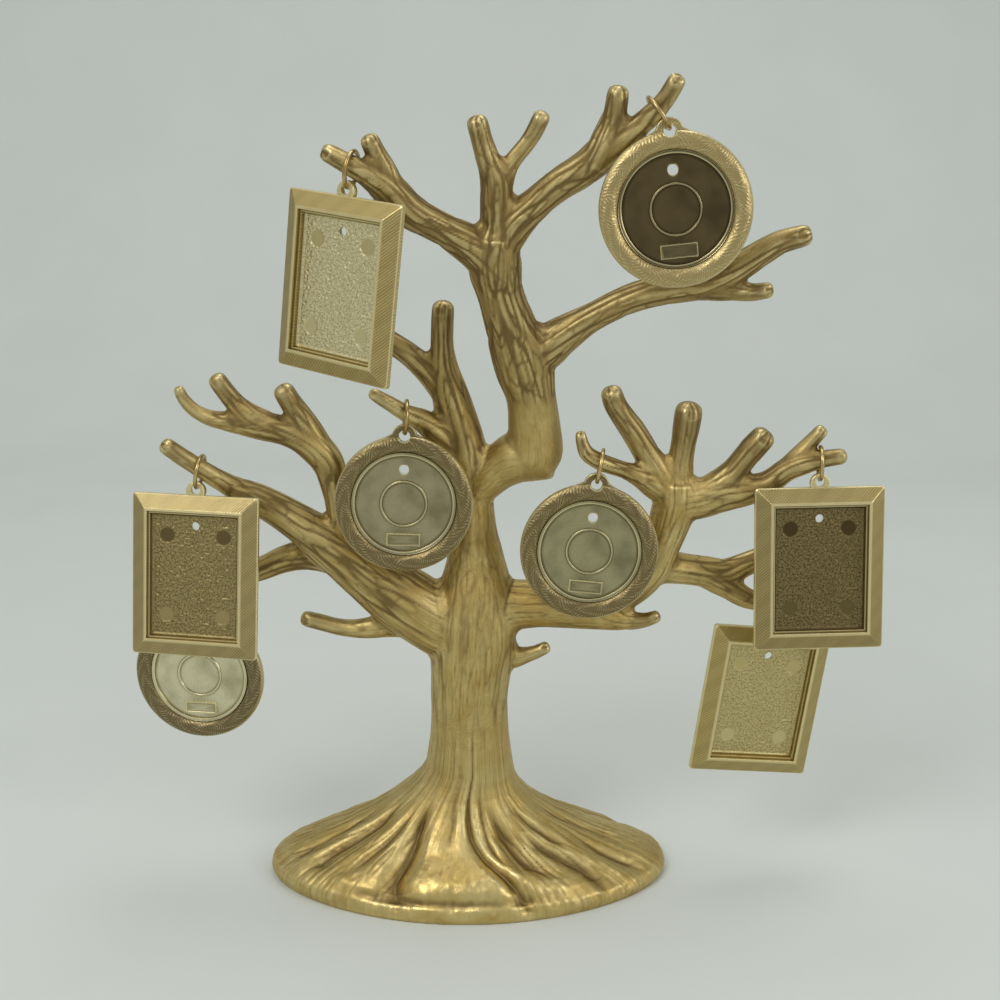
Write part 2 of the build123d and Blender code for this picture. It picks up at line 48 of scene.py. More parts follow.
camera_drop = 15.25
camera_lens = 50.6
camera_data = bpy.data.cameras.new("photo_camera")
camera_data.lens = camera_lens
camera_data.sensor_width = 36.0
camera_data.clip_start = 0.01
camera = bpy.data.objects.new("photo_camera", camera_data)
camera.location = camera_place
camera.rotation_euler = (math.radians(90 - camera_drop), 0, 0)
bpy.context.scene.collection.objects.link(camera)
bpy.context.scene.camera = camera

# The tree: one casting in a zinc alloy, poured in a rubber mould cut from a carved pattern, plated
# with gold and antiqued. Trunk and limbs follow the sections that the solids have, as shares of the
# height up to the crown's twigs, each row x, y, z and radius.
reference_height = 0.250
limb_shares = {
    "trunk": [
        (0.003, 0.000, 0.195, 0.0530),
        (0.003, 0.000, 0.225, 0.0513),
        (0.003, 0.000, 0.255, 0.0511),
        (0.005, 0.000, 0.285, 0.0530),
        (0.007, 0.000, 0.315, 0.0560),
        (0.008, 0.000, 0.345, 0.0575),
        (0.010, 0.000, 0.375, 0.0540),
        (0.012, 0.000, 0.405, 0.0480),
        (0.012, 0.000, 0.440, 0.0380),
        (0.009, 0.000, 0.480, 0.0310),
        (0.007, 0.000, 0.520, 0.0285),
        (0.007, 0.000, 0.550, 0.0280),
    ],
    "crown_elbow": [
        (0.012, -0.002, 0.535, 0.0250),
        (0.040, -0.008, 0.563, 0.0285),
        (0.068, -0.016, 0.582, 0.0330),
        (0.096, -0.022, 0.590, 0.0270),
    ],
    "crown_knee": [
        (0.060, -0.014, 0.5750, 0.0280),
        (0.085, -0.019, 0.5780, 0.0275),
        (0.1115, -0.024, 0.5810, 0.0262),
    ],
    "crown_stem": [
        (0.0865, -0.0185, 0.5660, 0.0265),
        (0.0880, -0.020, 0.588, 0.0350),
        (0.0860, -0.024, 0.625, 0.0325),
        (0.0820, -0.030, 0.660, 0.0310),
        (0.0745, -0.037, 0.695, 0.0365),
        (0.0640, -0.047, 0.730, 0.0355),
        (0.0540, -0.057, 0.760, 0.0300),
        (0.0430, -0.066, 0.795, 0.0280),
        (0.0370, -0.075, 0.830, 0.0330),
        (0.0385, -0.082, 0.862, 0.0280),
    ],
    "crown_left": [
        (0.036, -0.078, 0.826, 0.0270),
        (0.010, -0.086, 0.850, 0.0240),
        (-0.025, -0.098, 0.8705, 0.0190),
        (-0.0577, -0.108, 0.8895, 0.0205),
        (-0.083, -0.118, 0.9155, 0.0205),
        (-0.103, -0.126, 0.931, 0.0158),
        (-0.1210, -0.129, 0.9405, 0.0126),
        (-0.147, -0.126, 0.954, 0.0107),
    ],
    "crown_left_twig": [
        (-0.066, -0.114, 0.899, 0.0150),
        (-0.080, -0.119, 0.920, 0.0165),
        (-0.0865, -0.122, 0.938, 0.0142),
        (-0.0935, -0.124, 0.952, 0.0122),
        (-0.100, -0.126, 0.966, 0.0114),
    ],
    "crown_middle": [
        (0.038, -0.080, 0.835, 0.0240),
        (0.040, -0.083, 0.870, 0.0210),
        (0.0395, -0.087, 0.900, 0.0196),
        (0.0385, -0.090, 0.925, 0.0190),
        (0.0310, -0.093, 0.945, 0.0150),
        (0.0240, -0.095, 0.965, 0.0126),
        (0.0187, -0.098, 0.985, 0.0124),
    ],
    "crown_middle_twig": [
        (0.043, -0.089, 0.915, 0.0150),
        (0.051, -0.090, 0.934, 0.0125),
        (0.061, -0.092, 0.949, 0.0110),
        (0.071, -0.094, 0.961, 0.0104),
        (0.081, -0.096, 0.975, 0.0104),
        (0.0895, -0.099, 0.9915, 0.0104),
    ],
    "crown_right": [
        (0.040, -0.079, 0.845, 0.0250),
        (0.062, -0.085, 0.876, 0.0225),
        (0.088, -0.093, 0.900, 0.0190),
        (0.110, -0.101, 0.919, 0.0190),
        (0.137, -0.106, 0.936, 0.0198),
        (0.158, -0.110, 0.953, 0.0208),
        (0.178, -0.115, 0.968, 0.0180),
        (0.197, -0.124, 0.983, 0.0144),
        (0.2155, -0.133, 1.0010, 0.0120),
        (0.2265, -0.138, 1.0150, 0.0110),
        (0.2350, -0.142, 1.0300, 0.0106),
    ],
    "crown_right_twig": [
        (0.148, -0.112, 0.940, 0.0170),
        (0.160, -0.115, 0.962, 0.0185),
        (0.168, -0.117, 0.984, 0.0158),
        (0.172, -0.119, 1.001, 0.0138),
        (0.1738, -0.121, 1.0165, 0.0126),
    ],
    "upper_right": [
        (0.074, -0.036, 0.708, 0.0300),
        (0.1000, -0.042, 0.7255, 0.0285),
        (0.1180, -0.047, 0.7385, 0.0240),
        (0.149, -0.053, 0.759, 0.0180),
        (0.187, -0.060, 0.780, 0.0176),
        (0.218, -0.064, 0.7915, 0.0184),
        (0.252, -0.068, 0.7985, 0.0190),
        (0.285, -0.071, 0.805, 0.0190),
        (0.318, -0.074, 0.820, 0.0178),
        (0.348, -0.077, 0.8395, 0.0158),
        (0.3705, -0.080, 0.853, 0.0142),
        (0.3945, -0.082, 0.860, 0.0132),
    ],
    "upper_right_twig": [
        (0.270, -0.069, 0.800, 0.0160),
        (0.300, -0.070, 0.7995, 0.0165),
        (0.326, -0.069, 0.7955, 0.0132),
        (0.343, -0.068, 0.7935, 0.0108),
        (0.3585, -0.068, 0.7955, 0.0098),
    ],
    "middle_left": [
        (0.008, 0.000, 0.535, 0.0265),
        (0.003, 0.000, 0.570, 0.0275),
        (-0.004, 0.000, 0.602, 0.0270),
        (-0.013, 0.000, 0.635, 0.0255),
        (-0.021, 0.001, 0.665, 0.0225),
        (-0.0270, 0.002, 0.695, 0.0180),
        (-0.0285, 0.002, 0.720, 0.0146),
        (-0.0280, 0.001, 0.745, 0.0142),
        (-0.0268, 0.000, 0.763, 0.0142),
    ],
    "middle_left_branch": [
        (-0.020, 0.002, 0.655, 0.0200),
        (-0.045, 0.004, 0.686, 0.0178),
        (-0.067, 0.005, 0.7055, 0.0156),
        (-0.087, 0.005, 0.7195, 0.0145),
        (-0.107, 0.004, 0.735, 0.0125),
        (-0.122, 0.002, 0.750, 0.0112),
    ],
    "middle_left_hook": [
        (-0.006, -0.002, 0.575, 0.0230),
        (-0.030, -0.009, 0.606, 0.0200),
        (-0.052, -0.024, 0.6285, 0.0150),
        (-0.0719, -0.043, 0.6423, 0.0112),
        (-0.093, -0.053, 0.6575, 0.0098),
        (-0.1090, -0.057, 0.6685, 0.0076),
    ],
    "left_limb": [
        (0.002, 0.000, 0.330, 0.0430),
        (-0.040, -0.001, 0.358, 0.0450),
        (-0.085, -0.003, 0.390, 0.0440),
        (-0.130, -0.005, 0.426, 0.0375),
        (-0.170, -0.008, 0.460, 0.0320),
        (-0.207, -0.011, 0.488, 0.0255),
        (-0.240, -0.010, 0.510, 0.0222),
        (-0.2685, -0.014, 0.527, 0.0200),
        (-0.298, -0.026, 0.5470, 0.0144),
        (-0.3285, -0.041, 0.572, 0.0119),
        (-0.349, -0.047, 0.588, 0.0113),
        (-0.3655, -0.049, 0.601, 0.0108),
    ],
    "left_limb_low": [
        (-0.120, 0.000, 0.416, 0.0300),
        (-0.165, 0.005, 0.442, 0.0270),
        (-0.205, 0.008, 0.445, 0.0215),
        (-0.237, 0.008, 0.438, 0.0180),
        (-0.267, 0.003, 0.4265, 0.0160),
        (-0.298, -0.006, 0.417, 0.0132),
        (-0.325, -0.014, 0.408, 0.0116),
        (-0.3455, -0.0185, 0.4035, 0.011),
        (-0.366, -0.021, 0.403, 0.0104),
    ],
    "left_limb_hook": [
        (-0.055, 0.000, 0.356, 0.0230),
        (-0.095, 0.000, 0.353, 0.0190),
        (-0.125, 0.000, 0.3470, 0.0150),
        (-0.150, 0.000, 0.3455, 0.0122),
        (-0.170, 0.000, 0.3480, 0.0113),
        (-0.190, 0.000, 0.3535, 0.0110),
        (-0.2085, 0.000, 0.3585, 0.0106),
    ],
    "left_upper": [
        (-0.150, -0.006, 0.455, 0.0200),
        (-0.160, -0.008, 0.490, 0.0175),
        (-0.1635, -0.012, 0.520, 0.0162),
        (-0.166, -0.016, 0.545, 0.0180),
        (-0.172, -0.018, 0.572, 0.0205),
        (-0.186, -0.020, 0.592, 0.0215),
        (-0.206, -0.021, 0.607, 0.0195),
        (-0.230, -0.021, 0.6165, 0.0185),
        (-0.252, -0.021, 0.6215, 0.0185),
        (-0.275, -0.020, 0.6250, 0.0165),
        (-0.300, -0.019, 0.6275, 0.0125),
        (-0.3205, -0.019, 0.6320, 0.0102),
        (-0.337, -0.019, 0.6410, 0.0090),
        (-0.3485, -0.020, 0.6540, 0.0080),
        (-0.3537, -0.021, 0.6660, 0.0070),
    ],
    "left_upper_twig": [
        (-0.248, -0.021, 0.625, 0.0160),
        (-0.266, -0.022, 0.634, 0.0160),
        (-0.283, -0.022, 0.6490, 0.0134),
        (-0.2945, -0.023, 0.6640, 0.0122),
        (-0.3040, -0.024, 0.6780, 0.0119),
    ],
    "left_upper_end": [
        (-0.182, -0.019, 0.590, 0.0190),
        (-0.194, -0.020, 0.6135, 0.0180),
        (-0.204, -0.021, 0.6325, 0.0162),
        (-0.2140, -0.022, 0.6480, 0.0146),
        (-0.2225, -0.023, 0.6635, 0.0136),
    ],
    "right_limb": [
        (0.018, 0.000, 0.372, 0.0400),
        (0.060, -0.002, 0.379, 0.0340),
        (0.095, -0.005, 0.381, 0.0310),
        (0.130, -0.009, 0.378, 0.0275),
        (0.165, -0.013, 0.373, 0.0235),
        (0.195, -0.017, 0.3675, 0.0180),
        (0.216, -0.020, 0.3640, 0.0122),
        (0.232, -0.022, 0.3655, 0.0098),
        (0.2435, -0.024, 0.3700, 0.0086),
    ],
    "right_limb_rise": [
        (0.150, -0.008, 0.376, 0.0220),
        (0.190, -0.006, 0.3920, 0.0260),
        (0.220, -0.008, 0.4140, 0.0270),
        (0.240, -0.012, 0.4400, 0.0265),
        (0.251, -0.017, 0.4700, 0.0255),
        (0.260, -0.020, 0.5000, 0.0275),
        (0.266, -0.021, 0.5250, 0.0290),
        (0.266, -0.021, 0.5500, 0.0260),
    ],
    "right_fan": [
        (0.256, -0.020, 0.519, 0.0220),
        (0.276, -0.021, 0.524, 0.0255),
        (0.298, -0.022, 0.529, 0.0265),
        (0.326, -0.023, 0.5360, 0.0245),
        (0.355, -0.025, 0.5400, 0.0200),
        (0.380, -0.028, 0.5500, 0.0165),
        (0.401, -0.033, 0.5680, 0.0150),
        (0.420, -0.038, 0.5780, 0.0150),
        (0.4407, -0.043, 0.5838, 0.0118),
        (0.4640, -0.045, 0.5880, 0.0103),
    ],
    "right_fan_end": [
        (0.398, -0.032, 0.5680, 0.0120),
        (0.415, -0.034, 0.5865, 0.0118),
        (0.4285, -0.034, 0.6030, 0.0098),
        (0.4405, -0.034, 0.6170, 0.0088),
    ],
    "right_fan_third": [
        (0.294, -0.023, 0.529, 0.0210),
        (0.318, -0.024, 0.5455, 0.0200),
        (0.337, -0.026, 0.5640, 0.0170),
        (0.3490, -0.028, 0.5815, 0.0160),
        (0.3590, -0.029, 0.5950, 0.0164),
        (0.3685, -0.030, 0.6065, 0.0158),
    ],
    "right_fan_second": [
        (0.268, -0.021, 0.535, 0.0200),
        (0.2685, -0.021, 0.558, 0.0190),
        (0.2705, -0.022, 0.580, 0.0165),
        (0.2730, -0.023, 0.600, 0.0158),
        (0.2755, -0.024, 0.620, 0.0172),
        (0.2775, -0.025, 0.6380, 0.0176),
    ],
    "right_fan_first": [
        (0.262, -0.022, 0.534, 0.0200),
        (0.246, -0.022, 0.5580, 0.0205),
        (0.2285, -0.023, 0.5850, 0.0172),
        (0.2110, -0.025, 0.6140, 0.0160),
        (0.1965, -0.027, 0.6345, 0.0148),
        (0.1865, -0.028, 0.6500, 0.0144),
        (0.1820, -0.029, 0.6620, 0.0138),
    ],
    "right_fan_hook": [
        (0.258, -0.024, 0.5330, 0.0180),
        (0.238, -0.027, 0.5470, 0.0185),
        (0.219, -0.033, 0.5595, 0.0145),
        (0.198, -0.040, 0.5700, 0.0112),
        (0.1830, -0.049, 0.5770, 0.0110),
        (0.1680, -0.056, 0.5840, 0.0112),
        (0.1515, -0.058, 0.5940, 0.0100),
        (0.1452, -0.058, 0.6060, 0.0082),
        (0.1425, -0.058, 0.6175, 0.0068),
    ],
    "right_lower": [
        (0.232, -0.009, 0.4320, 0.0220),
        (0.260, -0.003, 0.4310, 0.0220),
        (0.286, 0.002, 0.4265, 0.0205),
        (0.312, 0.006, 0.4215, 0.0205),
        (0.337, 0.009, 0.4190, 0.0195),
        (0.362, 0.011, 0.4290, 0.0165),
        (0.387, 0.012, 0.4400, 0.0145),
        (0.4120, 0.012, 0.4480, 0.0125),
        (0.4330, 0.011, 0.4530, 0.0112),
    ],
    "right_lower_twig": [
        (0.310, 0.005, 0.4190, 0.0180),
        (0.340, 0.005, 0.4020, 0.0170),
        (0.363, 0.002, 0.388, 0.0142),
        (0.384, -0.002, 0.3825, 0.012),
        (0.4045, -0.006, 0.384, 0.011),
        (0.422, -0.009, 0.391, 0.0103),
    ],
    "trunk_hook": [
        (0.030, -0.004, 0.314, 0.0200),
        (0.058, -0.006, 0.3080, 0.0165),
        (0.0760, -0.007, 0.3105, 0.0118),
        (0.0900, -0.008, 0.3150, 0.0094),
        (0.1020, -0.008, 0.3210, 0.0086),
    ],
}
limb_nodes = {
    "trunk": ["trunk"],
    "crown_stem": ["crown_elbow", "crown_knee", "crown_stem"],
    "crown_left_limb": ["crown_left", "crown_left_twig"],
    "crown_middle_limb": ["crown_middle", "crown_middle_twig"],
    "crown_right_limb": ["crown_right", "crown_right_twig"],
    "upper_right_limb": ["upper_right", "upper_right_twig"],
    "middle_left_limb": ["middle_left", "middle_left_branch", "middle_left_hook"],
    "left_limb": ["left_limb", "left_limb_low", "left_limb_hook"],
    "left_upper_limb": ["left_upper", "left_upper_twig", "left_upper_end"],
    "right_limb": ["right_limb", "right_limb_rise"],
    "right_fan_limb": [
        "right_fan",
        "right_fan_end",
        "right_fan_third",
        "right_fan_second",
        "right_fan_first",
        "right_fan_hook",
    ],
    "right_lower_limb": ["right_lower", "right_lower_twig"],
    "trunk_hook": ["trunk_hook"],
}
blunt_limbs = ["trunk", "crown_elbow", "crown_knee", "crown_stem", "right_limb_rise"]
# depth of the coarse bark and of the fine grain on each node, in metres
bark_depths = {
    "root_foot": (0.00008, 0.00010),
    "trunk": (0.00006, 0.00010),
    "crown_stem": (0.00042, 0.00016),
    "crown_left_limb": (0.00034, 0.00014),
    "crown_middle_limb": (0.00032, 0.00014),
    "crown_right_limb": (0.00036, 0.00014),
    "upper_right_limb": (0.00034, 0.00014),
    "middle_left_limb": (0.00018, 0.00012),
    "left_limb": (0.00018, 0.00012),
    "left_upper_limb": (0.00022, 0.00012),
    "right_limb": (0.00016, 0.00012),
    "right_fan_limb": (0.00022, 0.00012),
    "right_lower_limb": (0.00022, 0.00012),
    "trunk_hook": (0.00012, 0.00010),
}
curve_step = 0.0006
tube_sides = 28
casting_voxel = 0.00056
tip_round_shares = [(0.36, 0.955), (0.58, 0.84), (0.74, 0.66), (0.84, 0.42), (0.88, 0.18)]


def smooth_curve(rows):
    """Points and radii at even steps on a smooth curve through a limb's sections."""
    ends = [2 * rows[0] - rows[1], 2 * rows[-1] - rows[-2]]
    rows = np.vstack([ends[0], rows, ends[1]])
    fine = []
    for first, start, stop, last in zip(rows, rows[1:], rows[2:], rows[3:]):
        for t in np.linspace(0, 1, 12, endpoint=False):
            fine.append(0.5 * (
                2 * start
                + (stop - first) * t
                + (2 * first - 5 * start + 4 * stop - last) * t**2
                + (3 * start - first - 3 * stop + last) * t**3
            ))
    fine = np.array(fine + [rows[-2]])
    lengths = np.concatenate([[0], np.cumsum(np.linalg.norm(np.diff(fine[:, :3], axis=0), axis=1))])
    stations = np.linspace(0, lengths[-1], max(8, int(lengths[-1] / curve_step)))
    return np.column_stack([np.interp(stations, lengths, fine[:, k]) for k in range(4)])


def limb_frames(curve):
    """The direction of a curve at each point, with two steady directions across it."""
    forward = np.gradient(curve[:, :3], axis=0)
    forward /= np.linalg.norm(forward, axis=1)[:, None]
    across = np.empty_like(forward)
    side = np.array([0.0, 1.0, 0.0])
    for index, way in enumerate(forward):
        side = side - way * side.dot(way)
        side = side / np.linalg.norm(side)
        across[index] = side
    return forward, across, np.cross(forward, across)


def add_tube(curve, rounded, points, faces):
    """Adds a closed tube along a curve to lists of points and faces, its free end rounded over."""
    forward, across, over = limb_frames(curve)
    rings = [(curve[i, :3], across[i], over[i], curve[i, 3]) for i in range(0, len(curve), 2)]
    if rounded:
        tip, radius = curve[-1, :3], curve[-1, 3]
        for reach_share, radius_share in tip_round_shares:
            middle = tip + forward[-1] * radius * reach_share
            rings.append((middle, across[-1], over[-1], radius * radius_share))
    start = len(points)
    turns = np.linspace(0, 2 * math.pi, tube_sides, endpoint=False)
    for middle, side, up, radius in rings:
        circle = middle + radius * (np.outer(np.cos(turns), side) + np.outer(np.sin(turns), up))
        points.extend(circle.tolist())
    for ring in range(len(rings) - 1):
        for k in range(tube_sides):
            a = start + ring * tube_sides + k
            b = start + ring * tube_sides + (k + 1) % tube_sides
            faces.append((a, b, b + tube_sides, a + tube_sides))
    faces.append(tuple(range(start + tube_sides - 1, start - 1, -1)))
    last = start + (len(rings) - 1) * tube_sides
    faces.append(tuple(range(last, last + tube_sides)))


# The foot's outline, level by level: share of the height to the neck, of the spread, and step right
foot_half_width = 0.0675
foot_half_depth = 0.0385
foot_level_shares = [
    (0.00, 0.975, 0.000),
    (0.03, 0.995, 0.000),
    (0.065, 1.000, 0.000),
    (0.11, 0.982, -0.004),
    (0.18, 0.890, -0.012),
    (0.26, 0.720, -0.022),
    (0.35, 0.530, -0.030),
    (0.45, 0.345, -0.034),
    (0.55, 0.205, -0.034),
    (0.64, 0.110, -0.026),
    (0.72, 0.055, -0.012),
    (0.80, 0.026, 0.000),
    (0.90, 0.012, 0.000),
    (1.00, 0.000, 0.000),
]
foot_sides = 220
foot_levels = 70
back_draw_in = 0.055     # how far the oval is drawn in between its four ends, at the back
front_draw_in = 0.025    # and at the front
neck_x, _, neck_z, neck_radius = np.array(limb_shares["trunk"][0]) * reference_height


def foot_level(height_share):
    """Half width, half depth and shift to the right of the foot at a share of its height."""
    heights, spreads, steps = np.array(foot_level_shares).T
    spread = np.interp(height_share, heights, spreads)
    shift = neck_x * height_share + foot_half_width * np.interp(height_share, heights, steps)
    half_width = neck_radius + (foot_half_width - neck_radius) * spread
    half_depth = neck_radius + (foot_half_depth - neck_radius) * spread
    return half_width, half_depth, shift


def add_foot(points, faces):
    """Adds the closed foot, from the floor to a little above its neck."""
    start = len(points)
    turns = np.linspace(0, 2 * math.pi, foot_sides, endpoint=False)
    for height_share in np.linspace(0, 1, foot_levels) ** 1.3:
        half_width, half_depth, shift = foot_level(height_share)
        drawn_in = np.where(np.sin(turns) > 0, back_draw_in, front_draw_in) * np.sin(2 * turns) ** 2
        drawn_in = drawn_in * np.clip((half_width / neck_radius - 1) / 2, 0, 1)
        level = np.column_stack([
            shift + half_width * (1 - drawn_in) * np.cos(turns),
            half_depth * (1 - drawn_in) * np.sin(turns),
            np.full(foot_sides, neck_z * height_share),
        ])
        points.extend(level.tolist())
    for ring in range(foot_levels - 1):
        for k in range(foot_sides):
            a = start + ring * foot_sides + k
            b = start + ring * foot_sides + (k + 1) % foot_sides
            faces.append((a, b, b + foot_sides, a + foot_sides))
    faces.append(tuple(range(start + foot_sides - 1, start - 1, -1)))
    last = start + (foot_levels - 1) * foot_sides
    faces.append(tuple(range(last, last + foot_sides)))


def mesh_arrays(mesh):
    """A mesh's points, edges and normals as arrays."""
    points = np.empty(len(mesh.vertices) * 3)
    mesh.vertices.foreach_get("co", points)
    edges = np.empty(len(mesh.edges) * 2, dtype=np.int32)
    mesh.edges.foreach_get("vertices", edges)
    normals = np.empty(len(mesh.vertices) * 3)
    mesh.vertex_normals.foreach_get("vector", normals)
    return points.reshape(-1, 3), edges.reshape(-1, 2), normals.reshape(-1, 3)


def neighbour_mean(values, edges):
    """The mean of each point's neighbours, for one or more columns of values."""
    count = len(values)
    first, second = edges[:, 0], edges[:, 1]
    share = np.maximum(np.bincount(first, minlength=count) + np.bincount(second, minlength=count), 1)
    means = [
        np.bincount(first, column[second], minlength=count)
        + np.bincount(second, column[first], minlength=count)
        for column in values.T
    ]
    return np.column_stack(means) / share[:, None]


lattice_size = 32
lattice = np.random.default_rng(11).random((lattice_size, lattice_size, lattice_size))


def ripple(places, spacing):
    """Smooth seeded heights between -1 and 1, with about one swell per spacing."""
    cell = places / spacing
    base = np.floor(cell).astype(int)
    part = cell - base
    part = part * part * (3 - 2 * part)
    total = np.zeros(len(places))
    for i in (0, 1):
        for j in (0, 1):
            for k in (0, 1):
                weight = (
                    (part[:, 0] if i else 1 - part[:, 0])
                    * (part[:, 1] if j else 1 - part[:, 1])
                    * (part[:, 2] if k else 1 - part[:, 2])
                )
                cell_x, cell_y, cell_z = ((base + (i, j, k)) % lattice_size).T
                total += lattice[cell_x, cell_y, cell_z] * weight
    return 2 * total - 1


def set_mesh(mesh, points):
    """Writes moved points back to a mesh."""
    mesh.vertices.foreach_set("co", np.ascontiguousarray(points).ravel())
    mesh.update()


curves = {}
node_of_limb = {}
tree_points, tree_faces = [], []
add_foot(tree_points, tree_faces)
for node, names in limb_nodes.items():
    for name in names:
        curves[name] = smooth_curve(np.array(limb_shares[name]) * reference_height)
        node_of_limb[name] = node
        add_tube(curves[name], name not in blunt_limbs, tree_points, tree_faces)
raw_mesh = bpy.data.meshes.new("raw_casting")
raw_mesh.from_pydata(tree_points, [], tree_faces)
raw_casting = bpy.data.objects.new("raw_casting", raw_mesh)
bpy.context.scene.collection.objects.link(raw_casting)
remesh = raw_casting.modifiers.new("one_skin", "REMESH")
remesh.mode = "VOXEL"
remesh.voxel_size = casting_voxel
graph = bpy.context.evaluated_depsgraph_get()
casting_mesh = bpy.data.meshes.new_from_object(raw_casting.evaluated_get(graph))
bpy.data.objects.remove(raw_casting)
bpy.data.meshes.remove(raw_mesh)

skin_pulls = (0.55, -0.57)     # a pull in and a push out, which smooth without shrinking
skin, skin_edges, skin_normals = mesh_arrays(casting_mesh)
for pull in skin_pulls * 3:
    skin = skin + pull * (neighbour_mean(skin, skin_edges) - skin)
set_mesh(casting_mesh, skin)

# How near each point of the skin is to each limb, and where it lies along and around that limb
grain_stretch = 11.0
node_names = ["root_foot"] + list(limb_nodes)
near_reach = 0.010
far_gap = 0.02
node_gap = np.full((len(skin), len(node_names)), far_gap)
nearest = np.full(len(skin), far_gap)
second = np.full(len(skin), far_gap)
thin_radius = 0.002
near_radius = np.full(len(skin), thin_radius)
second_radius = np.full(len(skin), thin_radius)


def place_on_limb(name):
    """For the skin near a limb: which points, their gap to its surface and their grain coordinates."""
    curve = curves[name]
    forward, across, over = limb_frames(curve)
    widest = curve[:, 3].max() + near_reach
    low, high = curve[:, :3].min(axis=0) - widest, curve[:, :3].max(axis=0) + widest
    chosen = np.where(((skin > low) & (skin < high)).all(axis=1))[0]
    gap = np.empty(len(chosen))
    station = np.empty(len(chosen), dtype=int)
    for begin in range(0, len(chosen), 4000):
        part = chosen[begin:begin + 4000]
        offset = skin[part][:, None, :] - curve[None, :, :3]
        reach = np.sqrt((offset**2).sum(axis=2)) - curve[None, :, 3]
        best = reach.argmin(axis=1)
        station[begin:begin + 4000] = best
        gap[begin:begin + 4000] = reach[np.arange(len(part)), best]
    keep = gap < near_reach
    chosen, gap, station = chosen[keep], gap[keep], station[keep]
    offset = skin[chosen] - curve[station, :3]
    sideways = (offset * across[station]).sum(axis=1)
    upward = (offset * over[station]).sum(axis=1)
    onward = station * curve_step + (offset * forward[station]).sum(axis=1)
    turn = np.hypot(sideways, upward) + 1e-9
    radius = curve[station, 3]
    grain = np.column_stack([sideways / turn * radius, upward / turn * radius, onward / grain_stretch])
    return chosen, gap, radius, grain


for name in curves:
    chosen, gap, radius, _ = place_on_limb(name)
    column = node_names.index(node_of_limb[name])
    node_gap[chosen, column] = np.minimum(node_gap[chosen, column], gap)
    closer = gap < nearest[chosen]
    next_closer = ~closer & (gap < second[chosen])
    second_radius[chosen] = np.where(
        closer, near_radius[chosen], np.where(next_closer, radius, second_radius[chosen])
    )
    second[chosen] = np.where(closer, nearest[chosen], np.minimum(second[chosen], gap))
    near_radius[chosen] = np.where(closer, radius, near_radius[chosen])
    nearest[chosen] = np.minimum(nearest[chosen], gap)
node_gap[:, 0] = np.where(skin[:, 2] < neck_z, -far_gap, far_gap)

# Forks are filled out as a carver leaves them.
fork_width = 0.30 * (near_radius + second_radius)
fork_share = np.clip(1.15 - (second - nearest) / fork_width, 0, 1)[:, None]
crest = np.clip((skin[:, 2:3] - neck_z) / 0.004, 0, 1)
# The knee under the crown is one broad rounded corner, softer than any fork
knee = np.array([0.0262, -0.0055, 0.1425])
knee_reach = 0.0095
fork_rounds = 110
knee_rounds = 16
knee_share = np.clip(1.5 - np.linalg.norm(skin - knee, axis=1) / knee_reach, 0, 1)[:, None]
soften = np.maximum(fork_share, knee_share) * crest
filled = skin
for _ in range(fork_rounds):
    filled = filled + 0.5 * soften * (neighbour_mean(filled, skin_edges) - filled)
# The filling hardly takes metal away, so no limb thins where it leaves its fork
rise = ((filled - skin) * skin_normals).sum(axis=1)[:, None]
skin = skin + np.clip(rise / 0.0003, 0, 1) * (filled - skin)
for _ in range(knee_rounds):
    skin = skin + 0.5 * knee_share * (neighbour_mean(skin, skin_edges) - skin)
for pull in skin_pulls * 4:
    skin = skin + pull * crest * (neighbour_mean(skin, skin_edges) - skin)
set_mesh(casting_mesh, skin)
skin, skin_edges, skin_normals = mesh_arrays(casting_mesh)

# Bark: long creases and fine grain along each limb
crease_spacing = 0.0019
break_spacing = 0.0016
grain_spacing = 0.0010
bark_reach = 0.004      # a limb's own bark fades out smoothly as far as this, so no line shows there
bark_fade = 0.0005
bark = np.zeros(len(skin))
crease = np.zeros(len(skin))
grain_map = np.zeros((len(skin), 3))
total = np.full(len(skin), 1e-9)
for index, name in enumerate(curves):
    chosen, gap, _, grain = place_on_limb(name)
    own_grain = grain + index * 0.37
    coarse_depth, fine_depth = bark_depths[node_of_limb[name]]
    coarse = (1 - np.abs(ripple(own_grain, crease_spacing))) ** 4
    broken = (1 - np.abs(ripple(own_grain * (1, 1, 2.5) + 0.1, break_spacing))) ** 5
    fine = ripple(own_grain * (1, 1, 0.8) + 0.3, grain_spacing)
    depth = -coarse_depth * (coarse + 0.5 * broken) + fine_depth * fine
    weight = np.exp(-np.clip(gap, -0.001, bark_reach) / bark_fade) - math.exp(-bark_reach / bark_fade)
    bark[chosen] += weight * depth
    crease[chosen] += weight * np.clip(coarse + 0.5 * broken, 0, 1)
    grain_map[chosen] += weight[:, None] * grain
    total[chosen] += weight
bark /= total
crease /= total
# The crown's stem is smooth up to where its bark begins, given as shares of the reference height
stem_bark_begins = 0.645
stem_bark_run = 0.035
smooth_below = np.clip((skin[:, 2] / reference_height - stem_bark_begins) / stem_bark_run, 0.10, 1)
on_stem = node_gap.argmin(axis=1) == node_names.index("crown_stem")
bark *= np.where(on_stem, smooth_below, 1)
crease *= np.where(on_stem, smooth_below, 1)
grain_map /= total[:, None]

